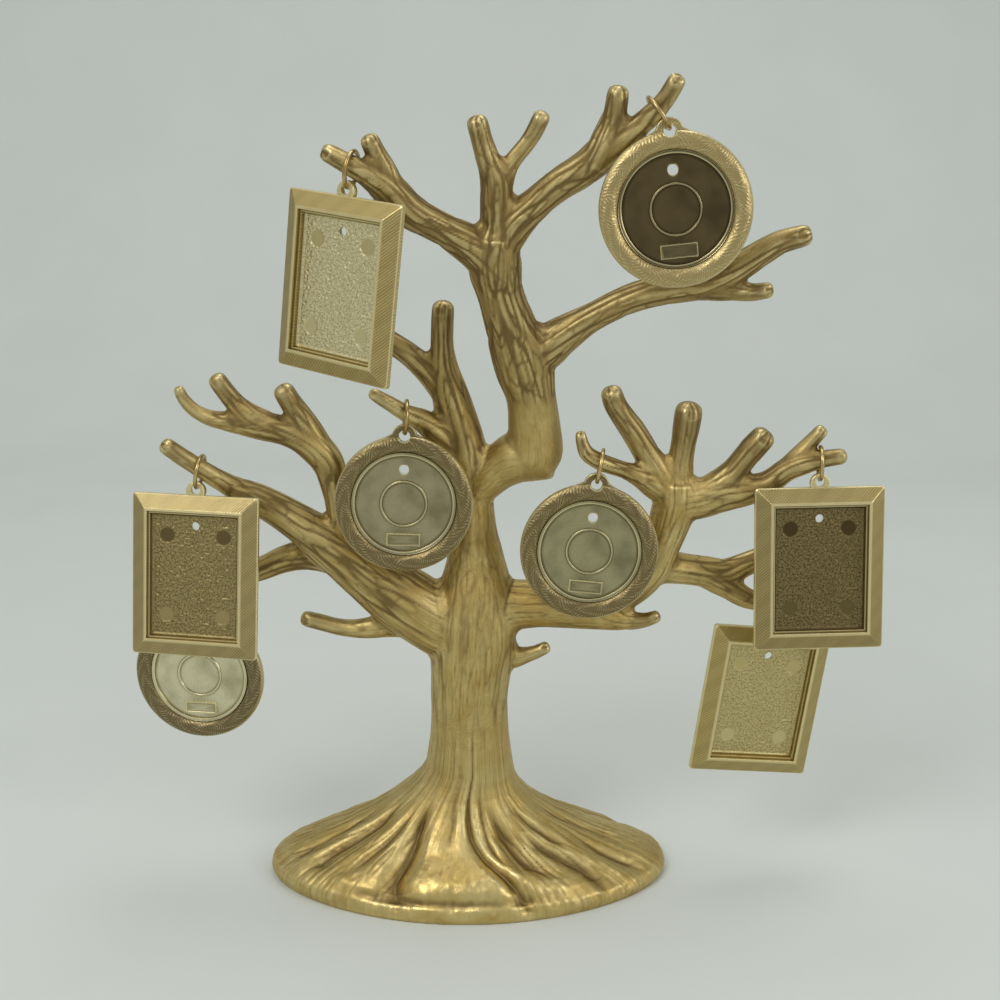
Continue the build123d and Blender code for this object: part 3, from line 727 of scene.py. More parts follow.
# Roots: valleys and one deep crevice run out between them, and the lobes are smooth near the rim.
# Each valley: bearing at the neck and at the rim, half width in degrees, depth in metres, and the
# shares of the spread between which it runs.
root_valleys = [
    (236, 251, 4.6, 0.0034, 0.10, 0.96),
    (206, 214, 5.5, 0.0022, 0.05, 0.86),
    (196, 196, 4.5, 0.0012, 0.20, 0.90),
    (225, 233, 3.2, 0.0010, 0.10, 0.70),
    (262, 264, 3.0, 0.0008, 0.02, 0.50),
    (271, 288, 2.6, 0.0020, 0.10, 1.02),
    (283, 292, 2.2, 0.0011, 0.05, 0.60),
    (288, 307, 6.0, 0.0030, 0.22, 0.74),
    (309, 317, 4.4, 0.0026, 0.40, 0.93),
    (318, 322, 3.2, 0.0013, 0.08, 0.52),
    (338, 335, 4.2, 0.0018, 0.52, 0.94),
    (348, 350, 3.5, 0.0010, 0.15, 0.70),
    (20, 24, 5.0, 0.0022, 0.10, 0.92),
    (48, 53, 5.5, 0.0026, 0.12, 0.80),
    (76, 80, 4.0, 0.0024, 0.10, 0.96),
    (97, 102, 3.0, 0.0012, 0.10, 0.60),
    (118, 124, 5.5, 0.0028, 0.12, 0.88),
    (150, 154, 5.0, 0.0022, 0.10, 0.90),
    (172, 171, 3.6, 0.0012, 0.15, 0.80),
]
root_grain_depth = 0.00042
# Each swell of the lobes: height and spacing in metres, offset of its pattern, and the share of the
# spread where it begins and over which it grows
root_swells = [
    (0.0010, 0.0120, 0.4, 0.35, 1.0),
    (0.00050, 0.0045, 0.9, 0.45, 1.0),
    (0.00014, 0.0018, 0.2, 0.35, 0.3),
]
foot_part = skin[:, 2] < neck_z * 1.25
height_share = np.clip(skin[:, 2] / neck_z, 0, 1)
half_width, half_depth, shift = foot_level(height_share)
across = skin[:, 0] - shift
bearing = np.degrees(np.arctan2(skin[:, 1] / half_depth, across / half_width)) % 360
rim_across = foot_half_width * np.cos(np.radians(bearing))
rim_deep = foot_half_depth * np.sin(np.radians(bearing))
neck_share = np.hypot(across, skin[:, 1]) / np.maximum(np.hypot(rim_across, rim_deep), 1e-6)
spread = np.clip((neck_share - 0.26) / 0.74, 0, 1.1)
upper_side = np.clip((skin_normals[:, 2] + 0.25) / 0.35, 0, 1) * foot_part
relief = np.zeros(len(skin))
hollow = np.zeros(len(skin))
for neck_bearing, rim_bearing, half_turn, depth, begins, stops in root_valleys:
    middle = neck_bearing + (rim_bearing - neck_bearing) * spread + 1.6 * np.sin(spread * 9 + neck_bearing)
    turn = (bearing - middle + 180) % 360 - 180
    open_in = np.clip((spread - begins + 0.06) / 0.22, 0, 1) * np.clip(spread / 0.30, 0.12, 1)
    open_out = np.clip((stops + 0.06 - spread) / 0.14, 0, 1)
    share = np.exp(-np.abs(turn / half_turn) ** 1.4) * open_in * open_out
    lip = np.exp(-((np.abs(turn) - 1.7 * half_turn) / (0.8 * half_turn)) ** 2) * open_in * open_out
    relief += -depth * share + 0.05 * depth * lip
    hollow = np.maximum(hollow, share * min(1, depth / 0.0022))
around = np.column_stack([
    np.cos(np.radians(bearing)) * 0.030,
    np.sin(np.radians(bearing)) * 0.030,
    spread * 0.004,
])
inner_grain = (1 - np.abs(ripple(around + 0.05, 0.0034))) ** 3
outer_grain = (1 - np.abs(ripple(around + 0.15, 0.0012))) ** 3
outer_share = np.clip(spread / 0.45, 0, 1)
root_grain = inner_grain * (1 - outer_share) + outer_grain * outer_share
root_fade = np.clip(1.35 - spread * 0.75, 0.10, 1)
root_fade *= 1 - 0.75 * np.exp(-(((bearing - 266) / 20) ** 4)) * np.clip((spread - 0.25) / 0.2, 0, 1)
relief += -root_grain_depth * root_grain * root_fade
for swell_height, swell_spacing, offset, begins, run in root_swells:
    relief += swell_height * ripple(skin + offset, swell_spacing) * np.clip((spread - begins) / run, 0, 1)
# The hollow that runs round under the front lobes, just above the rim, and the lobes over it
under_lobe_depth = 0.0009
lobe_height = 0.0017
front = np.exp(-(((bearing - 268) / 34) ** 4))
under_lobe = np.exp(-(((height_share - 0.135) / 0.030) ** 2)) * (0.05 + 0.95 * front)
under_lobe *= 0.75 + 0.35 * ripple(around * (1, 1, 0) + 0.7, 0.010)
relief += -under_lobe_depth * under_lobe
lobe = np.exp(-(((height_share - 0.235) / 0.075) ** 2)) * (0.15 + 0.85 * front) * (1 - 0.8 * hollow)
relief += lobe_height * lobe * (0.8 + 0.4 * ripple(around * (1, 1, 0) + 0.2, 0.014))
relief *= upper_side
foot_share = np.clip((neck_z * 1.25 - skin[:, 2]) / (neck_z * 0.25), 0, 1)
bark = bark * (1 - foot_share) + relief * np.clip(foot_share + 0.15, 0, 1)
crease = crease * (1 - foot_share) + foot_share * upper_side * np.clip(
    hollow + 0.60 * root_grain * root_fade + 0.9 * np.clip(under_lobe, 0, 1), 0, 1
)
grain_map = grain_map * (1 - foot_share[:, None]) + around * foot_share[:, None]

# The joint line at the top of the lower right limb, where it was brazed on
seam_bottom = 0.0925
seam_width = 0.0007
seam_depth = 0.0004
seam = np.abs(node_gap[:, node_names.index("trunk")] - node_gap[:, node_names.index("right_limb")])
above = np.clip((skin[:, 2] - seam_bottom) / 0.003, 0, 1)
trunk_gap = node_gap[:, node_names.index("trunk")]
notch = np.exp(-((seam / seam_width) ** 2)) * (nearest < 0.004) * (trunk_gap < 0.006) * above
# The limbs away from the trunk kept more of the brown wash
far_out = np.minimum(trunk_gap, node_gap[:, node_names.index("right_limb")])
limb_wash = 0.30 * np.clip((far_out - 0.003) / 0.006, 0, 1) * above
bark -= seam_depth * notch
crease = np.maximum(crease, 0.8 * notch)

# Twig ends: pinched dimples on the side that faces up and out to the front
dimple_share = 0.72
tip_dice = np.random.default_rng(8)
crown_nodes = [node_names.index(name) for name in node_names if "crown" in name or name == "upper_right_limb"]
on_crown = np.isin(node_gap.argmin(axis=1), crown_nodes)
# Darker towards the top of the crown and near each twig's end.
patina = np.where(on_crown, 0.55 * np.clip((skin[:, 2] / reference_height - 0.64) / 0.08, 0, 1), 0.0)
tip_cap = np.zeros(len(skin))
for name, curve in curves.items():
    if name in blunt_limbs:
        continue
    radius = curve[-1, 3]
    heading = curve[-1, :3] - curve[-3, :3]
    heading /= np.linalg.norm(heading)
    facing = heading * 0.45 + np.array([0.0, -0.90, 0.15])
    facing /= np.linalg.norm(facing)
    middle = curve[-1, :3] + facing * radius * 0.95
    middle += tip_dice.uniform(-0.22, 0.22, 3) * radius
    away = np.linalg.norm(skin - middle, axis=1) / (radius * dimple_share)
    dimple_depth = tip_dice.uniform(0.06, 0.15)
    dip = np.clip(1 - away**2, 0, 1)
    bark -= radius * dimple_depth * dip**1.5
    crease = np.maximum(crease, (0.25 + 4 * dimple_depth) * np.clip(dip * 1.2, 0, 1))
    from_end = np.linalg.norm(skin - curve[-1, :3], axis=1)
    near_tip = np.clip(1.25 - from_end / (4.5 * radius), 0, 1)
    patina = np.maximum(patina, 0.95 * near_tip)
    tip_cap = np.maximum(tip_cap, np.clip(1.9 - from_end / (1.1 * radius), 0, 1))
    bark *= 1 - 0.7 * np.clip(1.4 - from_end / (2.0 * radius), 0, 1) * (dip <= 0)

flat_under = np.clip((skin[:, 2] - 0.0006) / 0.001, 0, 1)
skin = skin + skin_normals * (bark * flat_under)[:, None]
skin[:, 2] = np.where(skin[:, 2] < 0.0004, 0.0, skin[:, 2])
set_mesh(casting_mesh, skin)
skin, skin_edges, skin_normals = mesh_arrays(casting_mesh)
blurred = skin
for _ in range(5):
    blurred = blurred + 0.8 * (neighbour_mean(blurred, skin_edges) - blurred)
sunken = ((blurred - skin) * skin_normals).sum(axis=1)
full_hollow = 0.00020
recess = np.clip(crease * 0.62 + sunken / full_hollow * 0.45 + limb_wash, 0, 1)
for _ in range(3):
    patina = neighbour_mean(patina[:, None], skin_edges)[:, 0]
proud = np.clip(-sunken / full_hollow, 0, 1)

# Which node each point belongs to, with stray islands blurred away
belongs = np.zeros((len(skin), len(node_names)))
belongs[np.arange(len(skin)), node_gap.argmin(axis=1)] = 1
for _ in range(10):
    belongs = 0.4 * belongs + 0.6 * neighbour_mean(belongs, skin_edges)
owner = belongs.argmax(axis=1)
corners = np.empty(len(casting_mesh.loops), dtype=np.int32)
casting_mesh.loops.foreach_get("vertex_index", corners)
quads = corners.reshape(-1, 4)
face_owner = owner[quads[:, 0]]


def linear(hex_colour):
    """An sRGB hex colour as the linear RGBA that a shader takes."""
    channels = [int(hex_colour[i:i + 2], 16) / 255 for i in (1, 3, 5)]
    return [c / 12.92 if c <= 0.04045 else ((c + 0.055) / 1.055) ** 2.4 for c in channels] + [1.0]


def add_node(tree, kind, settings=None, inputs=None):
    """Adds one shader node with its settings, and links or sets its inputs; a string is a hex colour."""
    node = tree.nodes.new(kind)
    for key, value in (settings or {}).items():
        setattr(node, key, value)
    for key, value in (inputs or {}).items():
        if isinstance(value, bpy.types.NodeSocket):
            tree.links.new(value, node.inputs[key])
        elif isinstance(value, str):
            node.inputs[key].default_value = linear(value)
        else:
            node.inputs[key].default_value = value
    return node


def new_material(name):
    """A named material with its Principled shader, ready for nodes."""
    material = bpy.data.materials.new(name)
    material.use_nodes = True
    return material, material.node_tree, material.node_tree.nodes["Principled BSDF"]


# Gold plate over cast zinc, antiqued with a brown wash and wiped: the wash stays in creases and
# dimples, the proud grain is rubbed bright and given a painted highlight, and the plate between is warm and
# half polished.
cast_grain_size = 0.00075
cast_blotch_size = 0.012
cast_speck_size = 0.0016
casting_gold, tree, shader = new_material("gold_plated_antiqued_casting")
recess_value = add_node(tree, "ShaderNodeAttribute", {"attribute_name": "recess"}).outputs["Fac"]
proud_value = add_node(tree, "ShaderNodeAttribute", {"attribute_name": "proud"}).outputs["Fac"]
smooth_value = add_node(tree, "ShaderNodeAttribute", {"attribute_name": "smooth_lobe"}).outputs["Fac"]
grain_place = add_node(tree, "ShaderNodeAttribute", {"attribute_name": "grain"}).outputs["Vector"]
object_place = add_node(tree, "ShaderNodeTexCoord").outputs["Object"]
hair = add_node(tree, "ShaderNodeTexNoise", None, {
    "Vector": grain_place, "Scale": 1 / cast_grain_size, "Detail": 4.0, "Roughness": 0.72,
}).outputs["Fac"]
blotch = add_node(tree, "ShaderNodeTexNoise", None, {
    "Vector": object_place, "Scale": 1 / cast_blotch_size, "Detail": 3.0, "Roughness": 0.6,
}).outputs["Fac"]
speck = add_node(tree, "ShaderNodeTexNoise", None, {
    "Vector": object_place, "Scale": 1 / cast_speck_size, "Detail": 2.0, "Roughness": 0.7,
}).outputs["Fac"]
plate_share = add_node(tree, "ShaderNodeMapRange", None, {
    "Value": blotch, "From Min": 0.35, "From Max": 0.65,
}).outputs[0]
plate = add_node(tree, "ShaderNodeMix", {"data_type": "RGBA"}, {
    0: plate_share, 6: "#C6AA66", 7: "#D6C184",
}).outputs[2]
hair_dark = add_node(tree, "ShaderNodeMapRange", None, {
    "Value": hair, "From Min": 0.42, "From Max": 0.62, "To Max": 0.42,
}).outputs[0]
hair_kept = add_node(tree, "ShaderNodeMapRange", None, {
    "Value": smooth_value, "To Min": 1.0, "To Max": 0.25,
}).outputs[0]
recess_wash = add_node(tree, "ShaderNodeMapRange", None, {
    "Value": recess_value, "From Min": 0.12, "From Max": 0.85, "To Max": 0.92,
}).outputs[0]
hair_wash = add_node(tree, "ShaderNodeMath", {"operation": "MULTIPLY"}, {
    0: hair_dark, 1: hair_kept,
}).outputs[0]
wash_share = add_node(tree, "ShaderNodeMath", {"operation": "MAXIMUM"}, {
    0: recess_wash, 1: hair_wash,
}).outputs[0]
patina_value = add_node(tree, "ShaderNodeAttribute", {"attribute_name": "patina"}).outputs["Fac"]
darkened_plate = add_node(tree, "ShaderNodeMix", {"data_type": "RGBA"}, {
    0: patina_value, 6: plate, 7: "#9C8658",
}).outputs[2]
washed = add_node(tree, "ShaderNodeMix", {"data_type": "RGBA"}, {
    0: wash_share, 6: darkened_plate, 7: "#7C6740",
}).outputs[2]
# Proud points are mixed towards pale gold: partly plate rubbed bare, partly a painted highlight.
rubbed_and_highlight_share = add_node(tree, "ShaderNodeMapRange", None, {
    "Value": proud_value, "From Min": 0.25, "From Max": 1.0, "To Max": 0.60,
}).outputs[0]
rubbed_wear_and_painted_highlight = add_node(tree, "ShaderNodeMix", {"data_type": "RGBA"}, {
    0: rubbed_and_highlight_share, 6: washed, 7: "#EBDCA4",
}).outputs[2]
tree.links.new(rubbed_wear_and_painted_highlight, shader.inputs["Base Color"])
shader.inputs["Metallic"].default_value = 1.0
rough_plain = add_node(tree, "ShaderNodeMapRange", None, {
    "Value": recess_value, "To Min": 0.46, "To Max": 0.62,
}).outputs[0]
speck_swing = add_node(tree, "ShaderNodeMapRange", None, {
    "Value": speck, "From Min": 0.3, "From Max": 0.7, "To Min": -0.5, "To Max": 0.5,
}).outputs[0]
rough_speck = add_node(tree, "ShaderNodeMath", {"operation": "MULTIPLY_ADD"}, {
    0: speck_swing, 1: 0.16, 2: rough_plain,
}).outputs[0]
rough = add_node(tree, "ShaderNodeMath", {"operation": "MULTIPLY_ADD"}, {
    0: smooth_value, 1: -0.08, 2: rough_speck,
}).outputs[0]
tree.links.new(rough, shader.inputs["Roughness"])
hair_height = add_node(tree, "ShaderNodeMapRange", None, {
    "Value": smooth_value, "To Min": 1.0, "To Max": 0.3,
}).outputs[0]
speck_height = add_node(tree, "ShaderNodeMapRange", None, {
    "Value": smooth_value, "To Min": 0.35, "To Max": 0.9,
}).outputs[0]
speck_relief = add_node(tree, "ShaderNodeMath", {"operation": "MULTIPLY"}, {
    0: speck, 1: speck_height,
}).outputs[0]
bump_height = add_node(tree, "ShaderNodeMath", {"operation": "MULTIPLY_ADD"}, {
    0: hair, 1: hair_height, 2: speck_relief,
}).outputs[0]
bump = add_node(tree, "ShaderNodeBump", None, {
    "Strength": 0.55, "Distance": 0.00022, "Height": bump_height,
})
tree.links.new(bump.outputs[0], shader.inputs["Normal"])

smooth_lobe = foot_share * np.clip((spread - 0.35) / 0.3, 0, 1)
smooth_lobe *= 0.25 + 0.75 * np.exp(-(((bearing - 266) / 26) ** 4))
smooth_lobe = np.maximum(smooth_lobe, tip_cap)
casting_values = {"recess": recess, "proud": proud, "smooth_lobe": smooth_lobe, "patina": patina}
lip_turn_in = 0.0007    # how far a piece's edge turns in under the skin, so that its cap is hidden


def add_casting_piece(node, number):
    """The stretch of the casting that stands for one node, closed where it meets the next."""
    chosen = quads[face_owner == number]
    used, local = np.unique(chosen, return_inverse=True)
    mesh = bpy.data.meshes.new(node + "_casting")
    mesh.from_pydata(skin[used].tolist(), [], local.reshape(-1, 4).tolist())
    for name, values in casting_values.items():
        mesh.attributes.new(name, "FLOAT", "POINT").data.foreach_set("value", values[used].astype(np.float32))
    grain_data = mesh.attributes.new("grain", "FLOAT_VECTOR", "POINT").data
    grain_data.foreach_set("vector", grain_map[used].astype(np.float32).ravel())
    build = bmesh.new()
    build.from_mesh(mesh)
    build.verts.index_update()
    on_skin = set(build.verts)
    open_edges = [edge for edge in build.edges if edge.is_boundary]
    turned_in = bmesh.ops.extrude_edge_only(build, edges=open_edges)["geom"]
    for vert in turned_in:
        if isinstance(vert, bmesh.types.BMVert):
            ends = [edge.other_vert(vert) for edge in vert.link_edges]
            source = next(end for end in ends if end in on_skin)
            vert.co = vert.co - Vector(skin_normals[used[source.index]]) * lip_turn_in
    open_edges = [edge for edge in build.edges if edge.is_boundary]
    bmesh.ops.holes_fill(build, edges=open_edges, sides=0)
    build.to_mesh(mesh)
    build.free()
    mesh.polygons.foreach_set("use_smooth", [True] * len(mesh.polygons))
    vertex_normals = np.zeros((len(mesh.vertices), 3))
    vertex_normals[:len(used)] = skin_normals[used]
    mesh.normals_split_custom_set_from_vertices(vertex_normals.tolist())
    mesh.materials.append(casting_gold)
    piece = bpy.data.objects.new(node + "_casting", mesh)
    bpy.context.scene.collection.objects.link(piece)
    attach(piece, "tree")
    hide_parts(node)


for number, node in enumerate(node_names):
    add_casting_piece(node, number)
bpy.data.meshes.remove(casting_mesh)

# The wire rings: drawn wire, plated, wound on a mandrel and cut, so each is a ring with a fine
# butt joint. The joint is turned to the back of its twig, where a hand would leave it.
joints = {joint["name"]: joint for joint in frame["joints"]}
ring_outer_diameter = 0.0114
wire_diameter = 0.0013
wire_joint_gap = 0.00012
wire_drift = 0.00012
wire_joint_turn = 118    # degrees round from the top of a ring to its joint, and a step for each ring
wire_joint_step = 9
wire_sides = 16
wire_steps = 96
wire_scuff_size = 0.0014
wire_tone_size = 0.0050
wire_gold, tree, shader = new_material("gold_plated_drawn_wire")
wire_place = add_node(tree, "ShaderNodeTexCoord").outputs["Object"]
wire_scuff = add_node(tree, "ShaderNodeTexNoise", None, {
    "Vector": wire_place, "Scale": 1 / wire_scuff_size, "Detail": 3.0, "Roughness": 0.7,
}).outputs["Fac"]
wire_tone = add_node(tree, "ShaderNodeTexNoise", None, {
    "Vector": wire_place, "Scale": 1 / wire_tone_size, "Detail": 2.0,
}).outputs["Fac"]
wire_share = add_node(tree, "ShaderNodeMapRange", None, {
    "Value": wire_tone, "From Min": 0.35, "From Max": 0.65,
}).outputs[0]
wire_colour = add_node(tree, "ShaderNodeMix", {"data_type": "RGBA"}, {
    0: wire_share, 6: "#AA8F5A", 7: "#CCB684",
}).outputs[2]
tree.links.new(wire_colour, shader.inputs["Base Color"])
shader.inputs["Metallic"].default_value = 1.0
wire_rough = add_node(tree, "ShaderNodeMapRange", None, {
    "Value": wire_scuff, "From Min": 0.3, "From Max": 0.7, "To Min": 0.20, "To Max": 0.38,
}).outputs[0]
tree.links.new(wire_rough, shader.inputs["Roughness"])
wire_bump = add_node(tree, "ShaderNodeBump", None, {
    "Strength": 0.25, "Distance": 0.00008, "Height": wire_scuff,
})
tree.links.new(wire_bump.outputs[0], shader.inputs["Normal"])


def ring_directions(number):
    """A ring's upward direction, its wire's direction through the ear, and its low point."""
    swing = joints[f"ring_{number}_swing"]
    sway = joints[f"frame_{number}_sway"]
    low_point = Vector(sway["pos_m"])
    upward = (Vector(swing["pos_m"]) - low_point).normalized()
    return upward, Vector(sway["axis"]).normalized(), low_point


def add_ring(number):
    """One wire ring, its two cut ends almost touching."""
    upward, through, low_point = ring_directions(number)
    ring_radius = (ring_outer_diameter - wire_diameter) / 2
    middle = low_point + upward * ring_radius
    axis = upward.cross(through)
    joint_turn = math.radians(wire_joint_turn + wire_joint_step * number)
    gap_turn = wire_joint_gap / ring_radius
    build = bmesh.new()
    rings = []
    for step in range(wire_steps + 1):
        turn = joint_turn + gap_turn / 2 + (2 * math.pi - gap_turn) * step / wire_steps
        outward = upward * math.cos(turn) - through * math.sin(turn)
        drift = wire_drift * math.cos(turn - joint_turn)
        centre = middle + outward * ring_radius + axis * drift * (1 - step / wire_steps)
        circle = []
        for side in range(wire_sides):
            angle = 2 * math.pi * side / wire_sides
            reach = outward * math.cos(angle) + axis * math.sin(angle)
            circle.append(build.verts.new(centre + reach * wire_diameter / 2))
        rings.append(circle)
    for ring, next_ring in zip(rings, rings[1:]):
        for side in range(wire_sides):
            next_side = (side + 1) % wire_sides
            build.faces.new((ring[side], ring[next_side], next_ring[next_side], next_ring[side]))
    build.faces.new(rings[0][::-1])
    build.faces.new(rings[-1])
    bmesh.ops.recalc_face_normals(build, faces=build.faces)
    mesh = bpy.data.meshes.new(f"ring_{number}_wire")
    build.to_mesh(mesh)
    build.free()
    mesh.polygons.foreach_set("use_smooth", [len(face.vertices) == 4 for face in mesh.polygons])
    mesh.materials.append(wire_gold)
    piece = bpy.data.objects.new(f"ring_{number}_wire", mesh)
    bpy.context.scene.collection.objects.link(piece)
    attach(piece, f"ring_{number}")
    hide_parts(f"ring_{number}")


for number in range(1, 9):
    add_ring(number)

# The frames: stamped or cast in shallow relief, gold plated and antiqued like the tree. Each hangs
# by its ear from its ring. Lean to the right, tip to the front and turn to the left, in degrees.
frame_attitudes = {
    1: (5.5, 3, 33),
    2: (-6.0, 4, 0),
    3: (1.0, 8, 8),
    4: (0.0, 1, 8),
    5: (1.5, 3, 0),
    6: (5.4, 3, 0),
    7: (-0.8, 7, -2),
    8: (7.5, -1, -10),
}
hole_gap = 0.00035


def frame_place(number, ear_thickness, hole_diameter):
    """The placement of a frame drawn flat, its ear's hole at the origin and its back at zero."""
    lean, tip, turn = (math.radians(angle) for angle in frame_attitudes[number])
    standing = Matrix.Rotation(-turn, 4, "Z") @ Matrix.Rotation(-tip, 4, "X") @ Matrix.Rotation(lean, 4, "Y")
    _, _, low_point = ring_directions(number)
    upward = standing @ Vector((0, 0, 1))
    hole = low_point - upward * (hole_diameter / 2 - wire_diameter / 2 - hole_gap)
    upright = Matrix.Rotation(math.radians(90), 4, "X")
    return Matrix.Translation(hole) @ standing @ upright @ Matrix.Translation((0, 0, -ear_thickness / 2))


def closed_mesh(name, rings, cap):
    """A closed mesh from loops of points, its first loop filled flat and its last one by a cap."""
    count = len(rings[0])
    points = [tuple(point) for ring in rings for point in ring]
    faces = [tuple(range(count - 1, -1, -1))]
    for ring in range(len(rings) - 1):
        for k in range(count):
            a = ring * count + k
            b = ring * count + (k + 1) % count
            faces.append((a, b, b + count, a + count))
    cap(points, faces, (len(rings) - 1) * count, count)
    mesh = bpy.data.meshes.new(name)
    mesh.from_pydata(points, [], faces)
    return mesh


def centre_cap(points, faces, start, count):
    """Fills the last loop with a fan round its middle."""
    middle = np.mean(points[start:start + count], axis=0)
    points.append(tuple(middle))
    for k in range(count):
        faces.append((start + k, start + (k + 1) % count, len(points) - 1))


def joined_mesh(name, parts):
    """One mesh of several closed ones."""
    build = bmesh.new()
    for part in parts:
        build.from_mesh(part)
        bpy.data.meshes.remove(part)
    mesh = bpy.data.meshes.new(name)
    build.to_mesh(mesh)
    build.free()
    return mesh


def face_outward(mesh):
    """Turns the faces of a closed mesh so that they all face out."""
    build = bmesh.new()
    build.from_mesh(mesh)
    bmesh.ops.recalc_face_normals(build, faces=build.faces)
    if build.calc_volume(signed=True) < 0:
        bmesh.ops.reverse_faces(build, faces=build.faces)
    build.to_mesh(mesh)
    build.free()


def cut_holes(mesh, holes):
    """Cuts round holes, each x, y and diameter, right through a flat mesh."""
    face_outward(mesh)
    body = bpy.data.objects.new("cut_body", mesh)
    bpy.context.scene.collection.objects.link(body)
    drills = []
    for x, y, diameter in holes:
        build = bmesh.new()
        bmesh.ops.create_cone(
            build, cap_ends=True, segments=64, radius1=diameter / 2, radius2=diameter / 2, depth=0.03
        )
        bmesh.ops.translate(build, verts=build.verts, vec=(x, y, 0))
        drill_mesh = bpy.data.meshes.new("drill")
        build.to_mesh(drill_mesh)
        build.free()
        drill = bpy.data.objects.new("drill", drill_mesh)
        bpy.context.scene.collection.objects.link(drill)
        drills.append(drill)
        cut = body.modifiers.new("hole", "BOOLEAN")
        cut.operation = "DIFFERENCE"
        cut.solver = "EXACT"
        cut.object = drill
    result = bpy.data.meshes.new_from_object(body.evaluated_get(bpy.context.evaluated_depsgraph_get()))
    for drill in drills:
        drill_mesh = drill.data
        bpy.data.objects.remove(drill)
        bpy.data.meshes.remove(drill_mesh)
    bpy.data.objects.remove(body)
    bpy.data.meshes.remove(mesh)
    return result


# The round frames: a low dome of a rim with chased strokes, a dished well with a raised circle that
# seats the photo, and a small bare plate under it. The wells differ: one is dark and polished.
round_diameter = 0.0430
round_edge_thickness = 0.0016
round_rim_thickness = 0.0028
round_recess_diameter = 0.0324
round_floor_thickness = 0.0012
round_ear_reach = 0.0213
round_ear_radius = 0.0039
round_ear_hole_diameter = 0.0035
round_floor_hole_diameter = 0.0030
round_floor_hole_rise = 0.0108
round_seat_diameter = 0.0148
round_seat_width = 0.0007
round_seat_height = 0.0003
round_plaque_width = 0.0106
round_plaque_height = 0.0040
round_plaque_drop = 0.0114
round_sides = 540
stroke_spacing = 0.00085
stroke_patches = 150
stroke_depth = 0.00016
stroke_dice = np.random.default_rng(5)
patch_around = stroke_dice.uniform(0, 2.5 * math.pi, stroke_patches) * round_diameter / 2
patch_overrun = 0.001
patch_across = stroke_dice.uniform(
    round_recess_diameter / 2 - patch_overrun, round_diameter / 2 + patch_overrun, stroke_patches
)
patch_lean = stroke_dice.choice([-1, 1], stroke_patches) * stroke_dice.uniform(0.2, 1.1, stroke_patches)
patch_spacing = stroke_spacing * stroke_dice.uniform(0.7, 1.25, stroke_patches)


def chased_strokes(around, across):
    """Heights of short chased strokes, in patches that each lean their own way."""
    patch = np.hypot(around[:, None] - patch_around, across[:, None] - patch_across).argmin(axis=1)
    lean = patch_lean[patch]
    phase = (around * np.cos(lean) + across * np.sin(lean)) / patch_spacing[patch] + patch * 0.37
    groove = np.abs(np.sin(math.pi * phase)) ** 0.8
    uneven = 0.70 + 0.30 * np.sin(around / 0.0011 + 3 * np.sin(across / 0.0009))
    return (groove * uneven - 0.6) * stroke_depth


def round_ear():
    """The ear that stands up from a round frame's rim, its edge rounded and its face chased."""
    outline = []
    for angle in np.radians(np.linspace(12, 168, 53)):
        outline.append((round_ear_radius * math.cos(angle), round_ear_radius * math.sin(angle) - 0.0002))
    side = outline[0]
    shoulder = []
    for share in np.linspace(0, 1, 16)[1:]:
        x = side[0] + 0.0044 * share
        rim_y = math.sqrt((round_diameter / 2) ** 2 - x**2) - round_ear_reach
        shoulder.append((x, rim_y + (side[1] + 0.0001) * (1 - share) ** 1.6 - 0.0003 * share))
    outline += [(-x, y) for x, y in shoulder] + shoulder[::-1]
    outline = np.array(outline)
    middle = np.array([0.0, -0.0008])
    rings = []
    for inset_share, height_share in ((0, 0.15), (0, 0.80), (0.02, 0.93), (0.06, 1.0)):
        flat = outline + (middle - outline) * inset_share
        rings.append(np.column_stack([flat, np.full(len(flat), round_edge_thickness * height_share)]))
    for inset_share in np.linspace(0.10, 0.95, 18):
        flat = outline + (middle - outline) * inset_share
        reach = np.hypot(*(flat - middle).T)
        turn = np.arctan2(*(flat - middle).T)
        strokes = chased_strokes(turn * round_ear_radius, reach) * min(1, inset_share * 6)
        height = round_edge_thickness + strokes
        rings.append(np.column_stack([flat, height]))
    return closed_mesh("round_ear", rings, centre_cap)


def small_plate():
    """The small bare plate in a round frame's well, a shallow border round its field."""
    rings = []
    corner = 0.0003
    middle_y = -round_ear_reach - round_plaque_drop
    levels = (
        (0, -0.0004),
        (0, 0.00030),
        (0.00008, 0.0004),
        (0.00050, 0.0004),
        (0.00062, 0.00028),
        (0.0010, 0.00026),
    )
    for inset, height in levels:
        loop = []
        half_width = round_plaque_width / 2 - inset
        half_height = round_plaque_height / 2 - inset
        for corner_x, corner_y, begins in ((1, 1, 0), (-1, 1, 90), (-1, -1, 180), (1, -1, 270)):
            for angle in np.radians(np.linspace(begins, begins + 90, 5)):
                loop.append((
                    corner_x * (half_width - corner) + corner * math.cos(angle),
                    corner_y * (half_height - corner) + corner * math.sin(angle) + middle_y,
                    round_floor_thickness + height,
                ))
        rings.append(loop)
    return closed_mesh("small_plate", rings, centre_cap)


